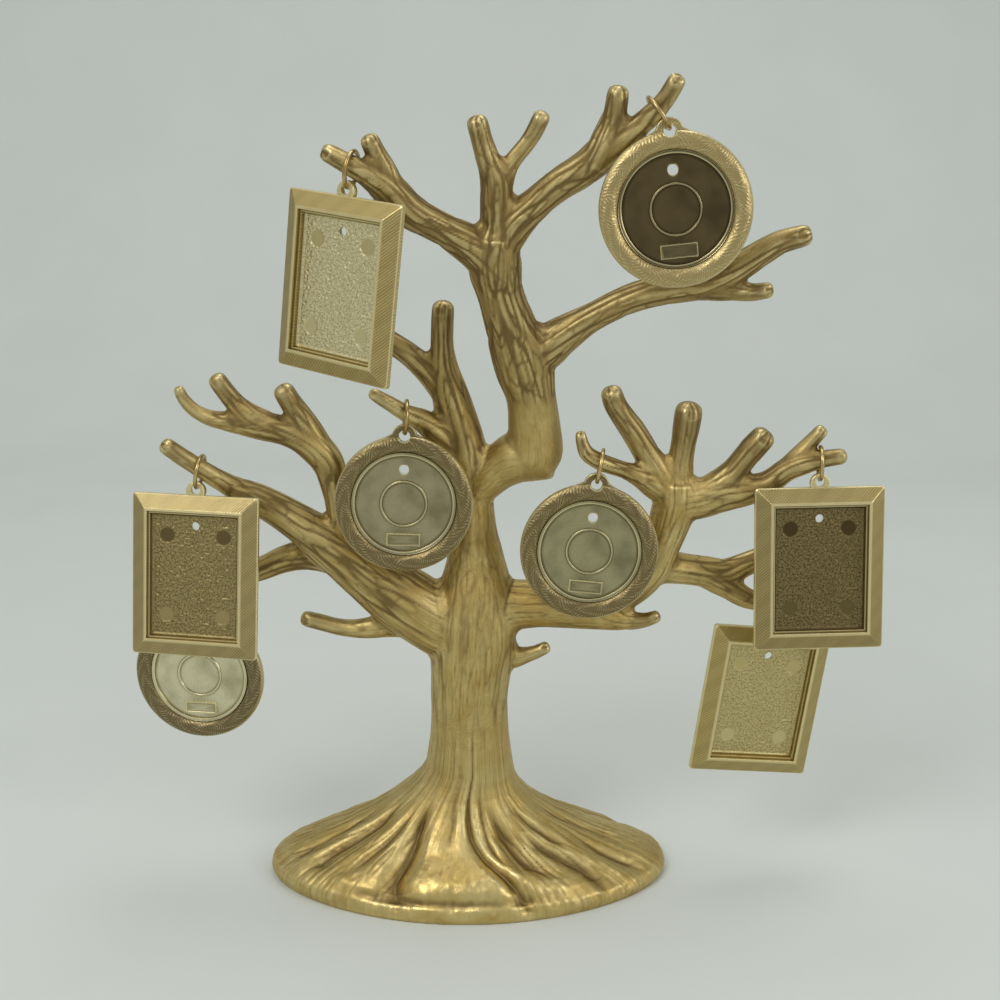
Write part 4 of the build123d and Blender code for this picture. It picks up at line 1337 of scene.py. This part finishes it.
def round_frame_mesh():
    """The round frame, drawn flat with its ear's hole at the origin."""
    outer = round_diameter / 2
    inner = round_recess_diameter / 2
    seat = round_seat_diameter / 2
    turns = np.linspace(0, 2 * math.pi, round_sides, endpoint=False) + math.pi / 2
    profile = [(outer - 0.0002, 0, 0), (outer, 0.0003, 0), (outer, round_edge_thickness - 0.0003, 0)]
    for share in np.linspace(0.02, 0.98, 22):
        arch = (1 - (2 * share - 1) ** 2) ** 0.75
        height = round_edge_thickness + (round_rim_thickness - round_edge_thickness) * arch
        radius = outer - 0.0001 + (inner - outer + 0.0002) * share
        profile.append((radius, height, min(1, 8 * share, 8 * (1 - share))))
    profile += [
        (inner, round_edge_thickness - 0.0001, 0),
        (inner - 0.00010, round_floor_thickness + 0.0006, 0),
        (inner - 0.00025, round_floor_thickness + 0.00052, 0),
        (inner - 0.00085, round_floor_thickness + 0.00050, 0),
        (inner - 0.00100, round_floor_thickness + 0.00042, 0),
        (inner - 0.00115, round_floor_thickness + 0.00004, 0),
    ]
    floor_radii = list(np.linspace(inner - 0.0015, seat + 0.0002, 16))
    profile += [(radius, round_floor_thickness, 0) for radius in floor_radii]
    seat_top = round_floor_thickness + round_seat_height
    profile += [
        (seat + 0.0001, round_floor_thickness, 0),
        (seat - 0.0001, seat_top - 0.00005, 0),
        (seat - 0.0002, seat_top, 0),
        (seat - round_seat_width + 0.0002, seat_top, 0),
        (seat - round_seat_width + 0.0001, seat_top - 0.00005, 0),
        (seat - round_seat_width - 0.0001, round_floor_thickness, 0),
    ]
    profile += [(radius, round_floor_thickness, 0) for radius in np.linspace(seat - 0.0012, 0.0004, 14)]
    rings = []
    for radius, height, stroke_share in profile:
        strokes = chased_strokes(turns * (outer + inner) / 2, np.full(round_sides, radius))
        level = height + stroke_share * strokes
        if radius < inner - 0.0012:
            place = np.column_stack([radius * np.cos(turns), radius * np.sin(turns), np.zeros(round_sides)])
            level = level + 0.00004 * ripple(place + 0.5, 0.0045)
        rings.append(np.column_stack([
            radius * np.cos(turns), radius * np.sin(turns) - round_ear_reach, level * np.ones(round_sides)
        ]))
    ear_hole = (0, 0, round_ear_hole_diameter)
    floor_hole = (0, round_floor_hole_rise - round_ear_reach, round_floor_hole_diameter)
    body = cut_holes(closed_mesh("round_frame", rings, centre_cap), [ear_hole, floor_hole])
    return joined_mesh("round_frame", [body, cut_holes(round_ear(), [ear_hole]), small_plate()])


# The oblong frames: a wide mitred bevel, finely lined across, up to a narrow lip, then a step and a
# cove down to a pebbled floor with four round marks where the pins that pushed it out had stood.
oblong_width = 0.0405
oblong_height = 0.0512
oblong_edge_thickness = 0.0015
oblong_lip_thickness = 0.0040
oblong_bevel_width = 0.0046
oblong_lip_width = 0.0008
oblong_step_width = 0.0007
oblong_step_depth = 0.0012
oblong_cove_width = 0.0012
oblong_floor_thickness = 0.0012
oblong_ear_radius = 0.0031
oblong_ear_thickness = 0.0016
oblong_ear_rise = 0.0018
oblong_ear_drop = 0.0006
oblong_ear_hole_diameter = 0.0031
oblong_floor_hole_diameter = 0.0026
oblong_floor_hole_drop = 0.0098
oblong_mark_diameter = 0.0048
oblong_mark_depth = 0.00014
oblong_mark_spacing = 0.0182
oblong_mark_inset = 0.0130
oblong_grid = (132, 168)
oblong_corner_ease = 0.0009
pebble_size = 0.0007
pebble_depth = 0.00011


def oblong_loop(inset, height, corner=0.0):
    """One loop of an oblong frame at an inset, its corners on the mitres, optionally eased."""
    half_width = oblong_width / 2 - inset
    half_height = oblong_height / 2 - inset
    wide, tall = oblong_grid
    across = np.linspace(-half_width, half_width, wide + 1)
    along = np.linspace(-half_height, half_height, tall + 1)
    loop = [(x, -half_height) for x in across[:-1]]
    loop += [(half_width, y) for y in along[:-1]]
    loop += [(x, half_height) for x in across[:0:-1]]
    loop += [(-half_width, y) for y in along[:0:-1]]
    loop = np.array(loop)
    if corner:
        past = np.clip(np.abs(loop) - (np.array([half_width, half_height]) - corner), 0, None)
        both = (past > 0).all(axis=1)
        stretch = corner / np.maximum(np.hypot(past[:, 0], past[:, 1]), 1e-9)
        pulled = np.sign(loop) * (np.array([half_width, half_height]) - corner + past * stretch[:, None])
        loop = np.where(both[:, None], pulled, loop)
    middle_y = -oblong_ear_rise - oblong_height / 2
    return np.column_stack([loop[:, 0], loop[:, 1] + middle_y, np.full(len(loop), height)])


def oblong_floor_cap(points, faces, start, count):
    """Fills the last loop with a grid of pebbled floor, its four round marks pressed in."""
    wide, tall = oblong_grid
    loop = np.array(points[start:start + count])
    low, high = loop.min(axis=0), loop.max(axis=0)
    index = {}
    for k in range(wide):
        index[(k, 0)] = start + k
        index[(wide - k, tall)] = start + wide + tall + k
    for k in range(tall):
        index[(wide, k)] = start + wide + k
        index[(0, tall - k)] = start + 2 * wide + tall + k
    inside = [(i, j) for i in range(1, wide) for j in range(1, tall)]
    places = np.array([
        (low[0] + (high[0] - low[0]) * i / wide, low[1] + (high[1] - low[1]) * j / tall, 0.0)
        for i, j in inside
    ])
    heights = oblong_floor_thickness + pebble_depth * ripple(places + 0.7, pebble_size)
    heights += 0.5 * pebble_depth * ripple(places + 0.2, pebble_size * 0.5)
    for side in (-1, 1):
        for drop in (oblong_mark_inset, oblong_height - oblong_mark_inset):
            from_side = places[:, 0] - side * oblong_mark_spacing / 2
            away = np.hypot(from_side, places[:, 1] + oblong_ear_rise + drop)
            mark = np.clip((oblong_mark_diameter / 2 - away) / 0.0007 + 0.5, 0, 1)
            sunk = oblong_floor_thickness - oblong_mark_depth
            heights = heights * (1 - mark) + mark * (sunk + 0.15 * pebble_depth * ripple(places, pebble_size))
    for (i, j), place, height in zip(inside, places, heights):
        index[(i, j)] = len(points)
        points.append((place[0], place[1], height))
    for i in range(wide):
        for j in range(tall):
            faces.append((index[(i, j)], index[(i + 1, j)], index[(i + 1, j + 1)], index[(i, j + 1)]))


def oblong_ear():
    """The small plain ear on an oblong frame's top edge."""
    rings = []
    levels = (
        (0, 0.0),
        (0, 0.0012),
        (0.0001, 0.0015),
        (0.00035, oblong_ear_thickness),
        (0.0009, oblong_ear_thickness),
    )
    for inset, height in levels:
        loop = []
        for angle in np.linspace(0, 2 * math.pi, 72, endpoint=False):
            reach = oblong_ear_radius - inset
            loop.append((reach * math.cos(angle), reach * math.sin(angle) - oblong_ear_drop, height))
        rings.append(loop)
    return closed_mesh("oblong_ear", rings, centre_cap)


def oblong_frame_mesh():
    """The oblong frame, drawn flat with its ear's hole at the origin."""
    lip_inset = oblong_bevel_width
    well_inset = lip_inset + oblong_lip_width
    step_inset = well_inset + oblong_step_width
    floor_inset = step_inset + oblong_cove_width
    step_height = oblong_lip_thickness - oblong_step_depth
    rings = [
        oblong_loop(0.0001, 0, oblong_corner_ease),
        oblong_loop(0, 0.0001, oblong_corner_ease),
        oblong_loop(0, oblong_edge_thickness - 0.0001, oblong_corner_ease),
    ]
    for share in np.linspace(0.03, 0.97, 20):
        height = oblong_edge_thickness + (oblong_lip_thickness - oblong_edge_thickness) * share
        rings.append(oblong_loop(lip_inset * share, height, oblong_corner_ease * (1 - share)))
    rings += [
        oblong_loop(lip_inset + 0.0001, oblong_lip_thickness),
        oblong_loop(well_inset - 0.0001, oblong_lip_thickness),
        oblong_loop(well_inset, oblong_lip_thickness - 0.0001),
        oblong_loop(well_inset + 0.00005, step_height + 0.0001),
        oblong_loop(well_inset + 0.00015, step_height),
        oblong_loop(step_inset - 0.00005, step_height - 0.00002),
    ]
    for share in np.linspace(0.0, 1.0, 7):
        sag = 1 - (1 - (1 - share) ** 2) ** 0.5
        height = oblong_floor_thickness + (step_height - 0.0002 - oblong_floor_thickness) * sag
        rings.append(oblong_loop(step_inset + (floor_inset - step_inset) * share, height))
    rings.append(oblong_loop(floor_inset + 0.0002, oblong_floor_thickness))
    ear_hole = (0, 0, oblong_ear_hole_diameter)
    floor_hole = (0, -oblong_ear_rise - oblong_floor_hole_drop, oblong_floor_hole_diameter)
    body = cut_holes(closed_mesh("oblong_frame", rings, oblong_floor_cap), [ear_hole, floor_hole])
    return joined_mesh("oblong_frame", [body, cut_holes(oblong_ear(), [ear_hole])])


# Each frame's plating has its own tone, because each caught the wash and the light differently:
# rim, rim in its strokes, floor, floor in its hollows, and the floor's roughness.
frame_tones = {
    1: ("#BBA872", "#83713F", "#E6DDB4", "#B4A573", 0.34),
    2: ("#BCA876", "#6E5C38", "#6A5C40", "#463A26", 0.18),
    3: ("#B5A373", "#83724A", "#A89868", "#6E603E", 0.42),
    4: ("#857655", "#4A3F29", "#D8D0AE", "#9A906C", 0.24),
    5: ("#8A7A54", "#4C4029", "#AAA080", "#75694A", 0.26),
    6: ("#8A7A54", "#4C4029", "#A8A07C", "#70664A", 0.24),
    7: ("#AE9C6A", "#7A6A44", "#8C7C54", "#4E4229", 0.40),
    8: ("#BFAC72", "#86733F", "#CFC08C", "#9A8A58", 0.36),
}
oblong_numbers = (1, 3, 7, 8)
# The round marks in each oblong floor: the lower two, then the upper two
disc_tones = {
    1: ("#D2C696", "#C4B684"),
    3: ("#A59467", "#6E5F3E"),
    7: ("#6E6140", "#52442B"),
    8: ("#CDBE8A", "#C2B27C"),
}
scratch_size = 0.0007
tone_size = 0.009
sand_size = 0.0006
line_spacing = 0.00092
facet_spacing = 0.0078
wave_run = 0.628    # a diagonal wave texture at scale 1 repeats over this many metres


def frame_material(number, is_oblong):
    """Gold plate over a stamped frame: antiqued in its strokes, with a painted highlight on its proud edges.
    """
    rim, rim_low, floor, floor_low, floor_roughness = frame_tones[number]
    form = "oblong" if is_oblong else "round"
    material, tree, shader = new_material(f"gold_plated_{form}_frame_{number}")
    place = add_node(tree, "ShaderNodeAttribute", {"attribute_name": "flat_place"}).outputs["Vector"]
    well = add_node(tree, "ShaderNodeAttribute", {"attribute_name": "well"}).outputs["Fac"]
    hollow = add_node(tree, "ShaderNodeAttribute", {"attribute_name": "hollow"}).outputs["Fac"]
    edge = add_node(tree, "ShaderNodeAttribute", {"attribute_name": "edge"}).outputs["Fac"]
    scratch = add_node(tree, "ShaderNodeTexNoise", None, {
        "Vector": place, "Scale": 1 / scratch_size, "Detail": 3.0, "Roughness": 0.7,
    }).outputs["Fac"]
    tone = add_node(tree, "ShaderNodeTexNoise", None, {
        "Vector": place, "Scale": 1 / tone_size, "Detail": 2.0,
    }).outputs["Fac"]
    hatch_place = add_node(tree, "ShaderNodeMapping", None, {"Vector": place, "Scale": (1, -1, 0)}).outputs[0]
    lines = add_node(tree, "ShaderNodeTexWave", {"bands_direction": "DIAGONAL"}, {
        "Vector": hatch_place, "Scale": wave_run / line_spacing, "Distortion": 0.6,
        "Detail": 2.0, "Detail Scale": 2.0,
    }).outputs["Fac"]
    facets = add_node(tree, "ShaderNodeTexWave", {"bands_direction": "DIAGONAL"}, {
        "Vector": hatch_place, "Scale": wave_run / facet_spacing, "Distortion": 1.5,
        "Detail": 2.0, "Detail Scale": 2.0,
    }).outputs["Fac"]
    sand = add_node(tree, "ShaderNodeTexNoise", None, {
        "Vector": place, "Scale": 1 / sand_size, "Detail": 2.0, "Roughness": 0.6,
    }).outputs["Fac"]
    disc = add_node(tree, "ShaderNodeAttribute", {"attribute_name": "disc"}).outputs["Fac"]
    upper_disc = add_node(tree, "ShaderNodeAttribute", {"attribute_name": "upper_disc"}).outputs["Fac"]
    rim_stroke = add_node(tree, "ShaderNodeMapRange", None, {
        "Value": lines if is_oblong else scratch, "From Min": 0.30, "From Max": 0.90, "To Max": 0.55,
    }).outputs[0]
    rim_share = add_node(tree, "ShaderNodeMath", {"operation": "MAXIMUM"}, {
        0: hollow, 1: rim_stroke,
    }).outputs[0]
    if is_oblong:
        facet_share = add_node(tree, "ShaderNodeMapRange", None, {
            "Value": facets, "From Min": 0.45, "From Max": 0.70,
        }).outputs[0]
        rim_share = add_node(tree, "ShaderNodeMath", {"operation": "MULTIPLY_ADD"}, {
            0: facet_share, 1: 0.10, 2: rim_share,
        }).outputs[0]
    rim_colour = add_node(tree, "ShaderNodeMix", {"data_type": "RGBA"}, {
        0: rim_share, 6: rim, 7: rim_low,
    }).outputs[2]
    tone_share = add_node(tree, "ShaderNodeMapRange", None, {
        "Value": tone, "From Min": 0.42, "From Max": 0.68, "To Max": 0.6,
    }).outputs[0]
    floor_share = add_node(tree, "ShaderNodeMath", {"operation": "MAXIMUM"}, {
        0: hollow, 1: tone_share,
    }).outputs[0]
    if is_oblong:
        half_share = add_node(tree, "ShaderNodeMath", {"operation": "MULTIPLY"}, {
            0: floor_share, 1: 0.5,
        }).outputs[0]
        sand_share = add_node(tree, "ShaderNodeMapRange", None, {
            "Value": sand, "From Min": 0.42, "From Max": 0.60, "To Max": 0.85,
        }).outputs[0]
        floor_share = add_node(tree, "ShaderNodeMath", {"operation": "MAXIMUM"}, {
            0: half_share, 1: sand_share,
        }).outputs[0]
    colour_steps = [(floor_share, floor_low)]
    if is_oblong:
        colour_steps += [(disc, disc_tones[number][0]), (upper_disc, disc_tones[number][1])]
    floor_colour = floor
    for step_share, step_colour in colour_steps:
        floor_colour = add_node(tree, "ShaderNodeMix", {"data_type": "RGBA"}, {
            0: step_share, 6: floor_colour, 7: step_colour,
        }).outputs[2]
    colour = add_node(tree, "ShaderNodeMix", {"data_type": "RGBA"}, {
        0: well, 6: rim_colour, 7: floor_colour,
    }).outputs[2]
    # Proud edges are mixed towards pale gold: a painted highlight.
    edge_highlight_share = add_node(tree, "ShaderNodeMapRange", None, {
        "Value": edge, "From Min": 0.2, "From Max": 1.0, "To Max": 0.7,
    }).outputs[0]
    painted_edge_highlight = add_node(tree, "ShaderNodeMix", {"data_type": "RGBA"}, {
        0: edge_highlight_share, 6: colour, 7: "#F2E4B0",
    }).outputs[2]
    tree.links.new(painted_edge_highlight, shader.inputs["Base Color"])
    shader.inputs["Metallic"].default_value = 1.0
    rim_rough = add_node(tree, "ShaderNodeMapRange", None, {
        "Value": scratch, "From Min": 0.3, "From Max": 0.7, "To Min": 0.28, "To Max": 0.46,
    }).outputs[0]
    floor_rough = add_node(tree, "ShaderNodeMapRange", None, {
        "Value": scratch, "From Min": 0.3, "From Max": 0.7,
        "To Min": floor_roughness - 0.05, "To Max": floor_roughness + 0.10,
    }).outputs[0]
    rough = add_node(tree, "ShaderNodeMix", {"data_type": "FLOAT"}, {0: well, 2: rim_rough, 3: floor_rough})
    tree.links.new(rough.outputs[0], shader.inputs["Roughness"])
    line_share = 0.7 if is_oblong else 0.1
    relief_rim = add_node(tree, "ShaderNodeMath", {"operation": "MULTIPLY_ADD"}, {
        0: lines, 1: line_share, 2: scratch,
    }).outputs[0]
    floor_height = 0.12
    if is_oblong:
        floor_height = add_node(tree, "ShaderNodeMapRange", None, {
            "Value": disc, "To Min": 1.6, "To Max": 0.2,
        }).outputs[0]
    relief_floor = add_node(tree, "ShaderNodeMath", {"operation": "MULTIPLY"}, {
        0: sand if is_oblong else scratch, 1: floor_height,
    })
    relief_all = add_node(
        tree, "ShaderNodeMix", {"data_type": "FLOAT"}, {0: well, 2: relief_rim, 3: relief_floor.outputs[0]}
    )
    bump = add_node(tree, "ShaderNodeBump", None, {
        "Strength": 0.5, "Distance": 0.00014, "Height": relief_all.outputs[0],
    })
    tree.links.new(bump.outputs[0], shader.inputs["Normal"])
    return material


def mark_frame(mesh, is_oblong):
    """Marks on a frame's mesh its well, its hollows and its edges, for the plating's tones and its painted
    edge highlights.
    """
    points, edges, normals = mesh_arrays(mesh)
    blurred = points
    for _ in range(4):
        blurred = blurred + 0.8 * (neighbour_mean(blurred, edges) - blurred)
    sunken = ((blurred - points) * normals).sum(axis=1)
    if is_oblong:
        middle_y = -oblong_ear_rise - oblong_height / 2
        inset = np.minimum(
            oblong_width / 2 - np.abs(points[:, 0]), oblong_height / 2 - np.abs(points[:, 1] - middle_y)
        )
        well_inset = oblong_bevel_width + oblong_lip_width + oblong_step_width + 0.3 * oblong_cove_width
        well = (inset > well_inset) & (points[:, 2] > 0.0003)
        drop = np.abs(points[:, 1] - middle_y) - (oblong_height / 2 - oblong_mark_inset)
        away = np.hypot(np.abs(points[:, 0]) - oblong_mark_spacing / 2, drop)
        disc = well * np.clip((oblong_mark_diameter / 2 - away) / 0.0003 + 0.5, 0, 1)
        upper_disc = disc * (points[:, 1] > middle_y)
        plain = 1 - well
    else:
        reach = np.hypot(points[:, 0], points[:, 1] + round_ear_reach)
        well = (reach < round_recess_diameter / 2 - 0.00005) & (points[:, 2] > 0.0003)
        plate = (np.abs(points[:, 0]) < round_plaque_width / 2) & (
            np.abs(points[:, 1] + round_ear_reach + round_plaque_drop) < round_plaque_height / 2
        )
        disc = upper_disc = np.zeros(len(points))
        plain = np.ones(len(points))
    values = {
        "well": well.astype(np.float32),
        "hollow": np.clip(sunken / 0.00008, 0, 1).astype(np.float32),
        "edge": (np.clip(-sunken / 0.00011, 0, 1) * plain).astype(np.float32),
        "disc": disc.astype(np.float32),
        "upper_disc": upper_disc.astype(np.float32),
    }
    # The small plate in a round frame's well gets a weaker painted highlight.
    if not is_oblong:
        values["edge"] = np.maximum(values["edge"], 0.30 * plate * well).astype(np.float32)
    for name, value in values.items():
        mesh.attributes.new(name, "FLOAT", "POINT").data.foreach_set("value", value)
    flat_data = mesh.attributes.new("flat_place", "FLOAT_VECTOR", "POINT").data
    flat_data.foreach_set("vector", points.astype(np.float32).ravel())


shapes = {True: oblong_frame_mesh(), False: round_frame_mesh()}
for is_oblong, shape in shapes.items():
    mark_frame(shape, is_oblong)


def add_frame(number):
    """One hanging frame in its own plating."""
    is_oblong = number in oblong_numbers
    mesh = shapes[is_oblong].copy()
    name = f"frame_{number}_plated"
    mesh.name = name
    if is_oblong:
        place = frame_place(number, oblong_ear_thickness, oblong_ear_hole_diameter)
    else:
        place = frame_place(number, round_edge_thickness, round_ear_hole_diameter)
    mesh.transform(place)
    mesh.materials.clear()
    mesh.materials.append(frame_material(number, is_oblong))
    mesh.polygons.foreach_set("material_index", [0] * len(mesh.polygons))
    mesh.polygons.foreach_set("use_smooth", [True] * len(mesh.polygons))
    mesh.set_sharp_from_angle(angle=math.radians(38))
    piece = bpy.data.objects.new(name, mesh)
    bpy.context.scene.collection.objects.link(piece)
    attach(piece, f"frame_{number}")
    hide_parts(f"frame_{number}")


for number in frame_attitudes:
    add_frame(number)
for shape in shapes.values():
    bpy.data.meshes.remove(shape)

# The table and the wall behind it are one sweep of matt paper, so no line shows between them.
sweep_front = -0.9
sweep_back = 0.55
sweep_bend = 0.45
sweep_half_width = 1.6
sweep_height = 1.5
paper_tooth_size = 0.08
sweep_path = [(sweep_front, 0.0), (sweep_back, 0.0)]
for angle in np.radians(np.linspace(0, 90, 25)[1:]):
    sweep_path.append((sweep_back + sweep_bend * math.sin(angle), sweep_bend * (1 - math.cos(angle))))
sweep_path.append((sweep_back + sweep_bend, sweep_height))
sweep_mesh = bpy.data.meshes.new("paper_sweep")
sweep_mesh.from_pydata(
    [(side * sweep_half_width, y, z) for y, z in sweep_path for side in (-1, 1)],
    [],
    [(2 * k, 2 * k + 1, 2 * k + 3, 2 * k + 2) for k in range(len(sweep_path) - 1)],
)
sweep_mesh.polygons.foreach_set("use_smooth", [True] * len(sweep_mesh.polygons))
paper, tree, shader = new_material("matt_pale_paper")
paper_place = add_node(tree, "ShaderNodeTexCoord").outputs["Object"]
paper_tooth = add_node(tree, "ShaderNodeTexNoise", None, {
    "Vector": paper_place, "Scale": 1 / paper_tooth_size, "Detail": 2.0,
}).outputs["Fac"]
paper_share = add_node(tree, "ShaderNodeMapRange", None, {
    "Value": paper_tooth, "From Min": 0.3, "From Max": 0.7,
}).outputs[0]
paper_colour = add_node(tree, "ShaderNodeMix", {"data_type": "RGBA"}, {
    0: paper_share, 6: "#CFD3CF", 7: "#D2D6D2",
}).outputs[2]
tree.links.new(paper_colour, shader.inputs["Base Color"])
shader.inputs["Roughness"].default_value = 0.75
shader.inputs["Specular IOR Level"].default_value = 0.25
sweep_mesh.materials.append(paper)
sweep = bpy.data.objects.new("paper_sweep", sweep_mesh)
bpy.context.scene.collection.objects.link(sweep)

# Light: a large soft lamp overhead and to the left, a weaker one from the right, and a pale room.
world = bpy.data.worlds.new("pale_room")
world.use_nodes = True
world.node_tree.nodes["Background"].inputs["Color"].default_value = linear("#DDE0DC")
world.node_tree.nodes["Background"].inputs["Strength"].default_value = 0.72
bpy.context.scene.world = world


def add_lamp(name, place, aim, size, power):
    """A square soft lamp aimed at a point."""
    lamp_data = bpy.data.lights.new(name, "AREA")
    lamp_data.size = size
    lamp_data.energy = power
    lamp = bpy.data.objects.new(name, lamp_data)
    lamp.location = place
    lamp.rotation_euler = (Vector(aim) - Vector(place)).to_track_quat("-Z", "Y").to_euler()
    bpy.context.scene.collection.objects.link(lamp)


add_lamp("soft_key", (-0.55, -0.75, 1.00), (0, 0, 0.13), 0.55, 4.6)
add_lamp("soft_fill", (0.85, -0.55, 0.55), (0, 0, 0.13), 0.50, 2.0)
add_lamp("soft_top", (0.1, 0.15, 1.25), (0, 0, 0.1), 0.60, 3.0)

bpy.context.scene.view_settings.view_transform = "Standard"
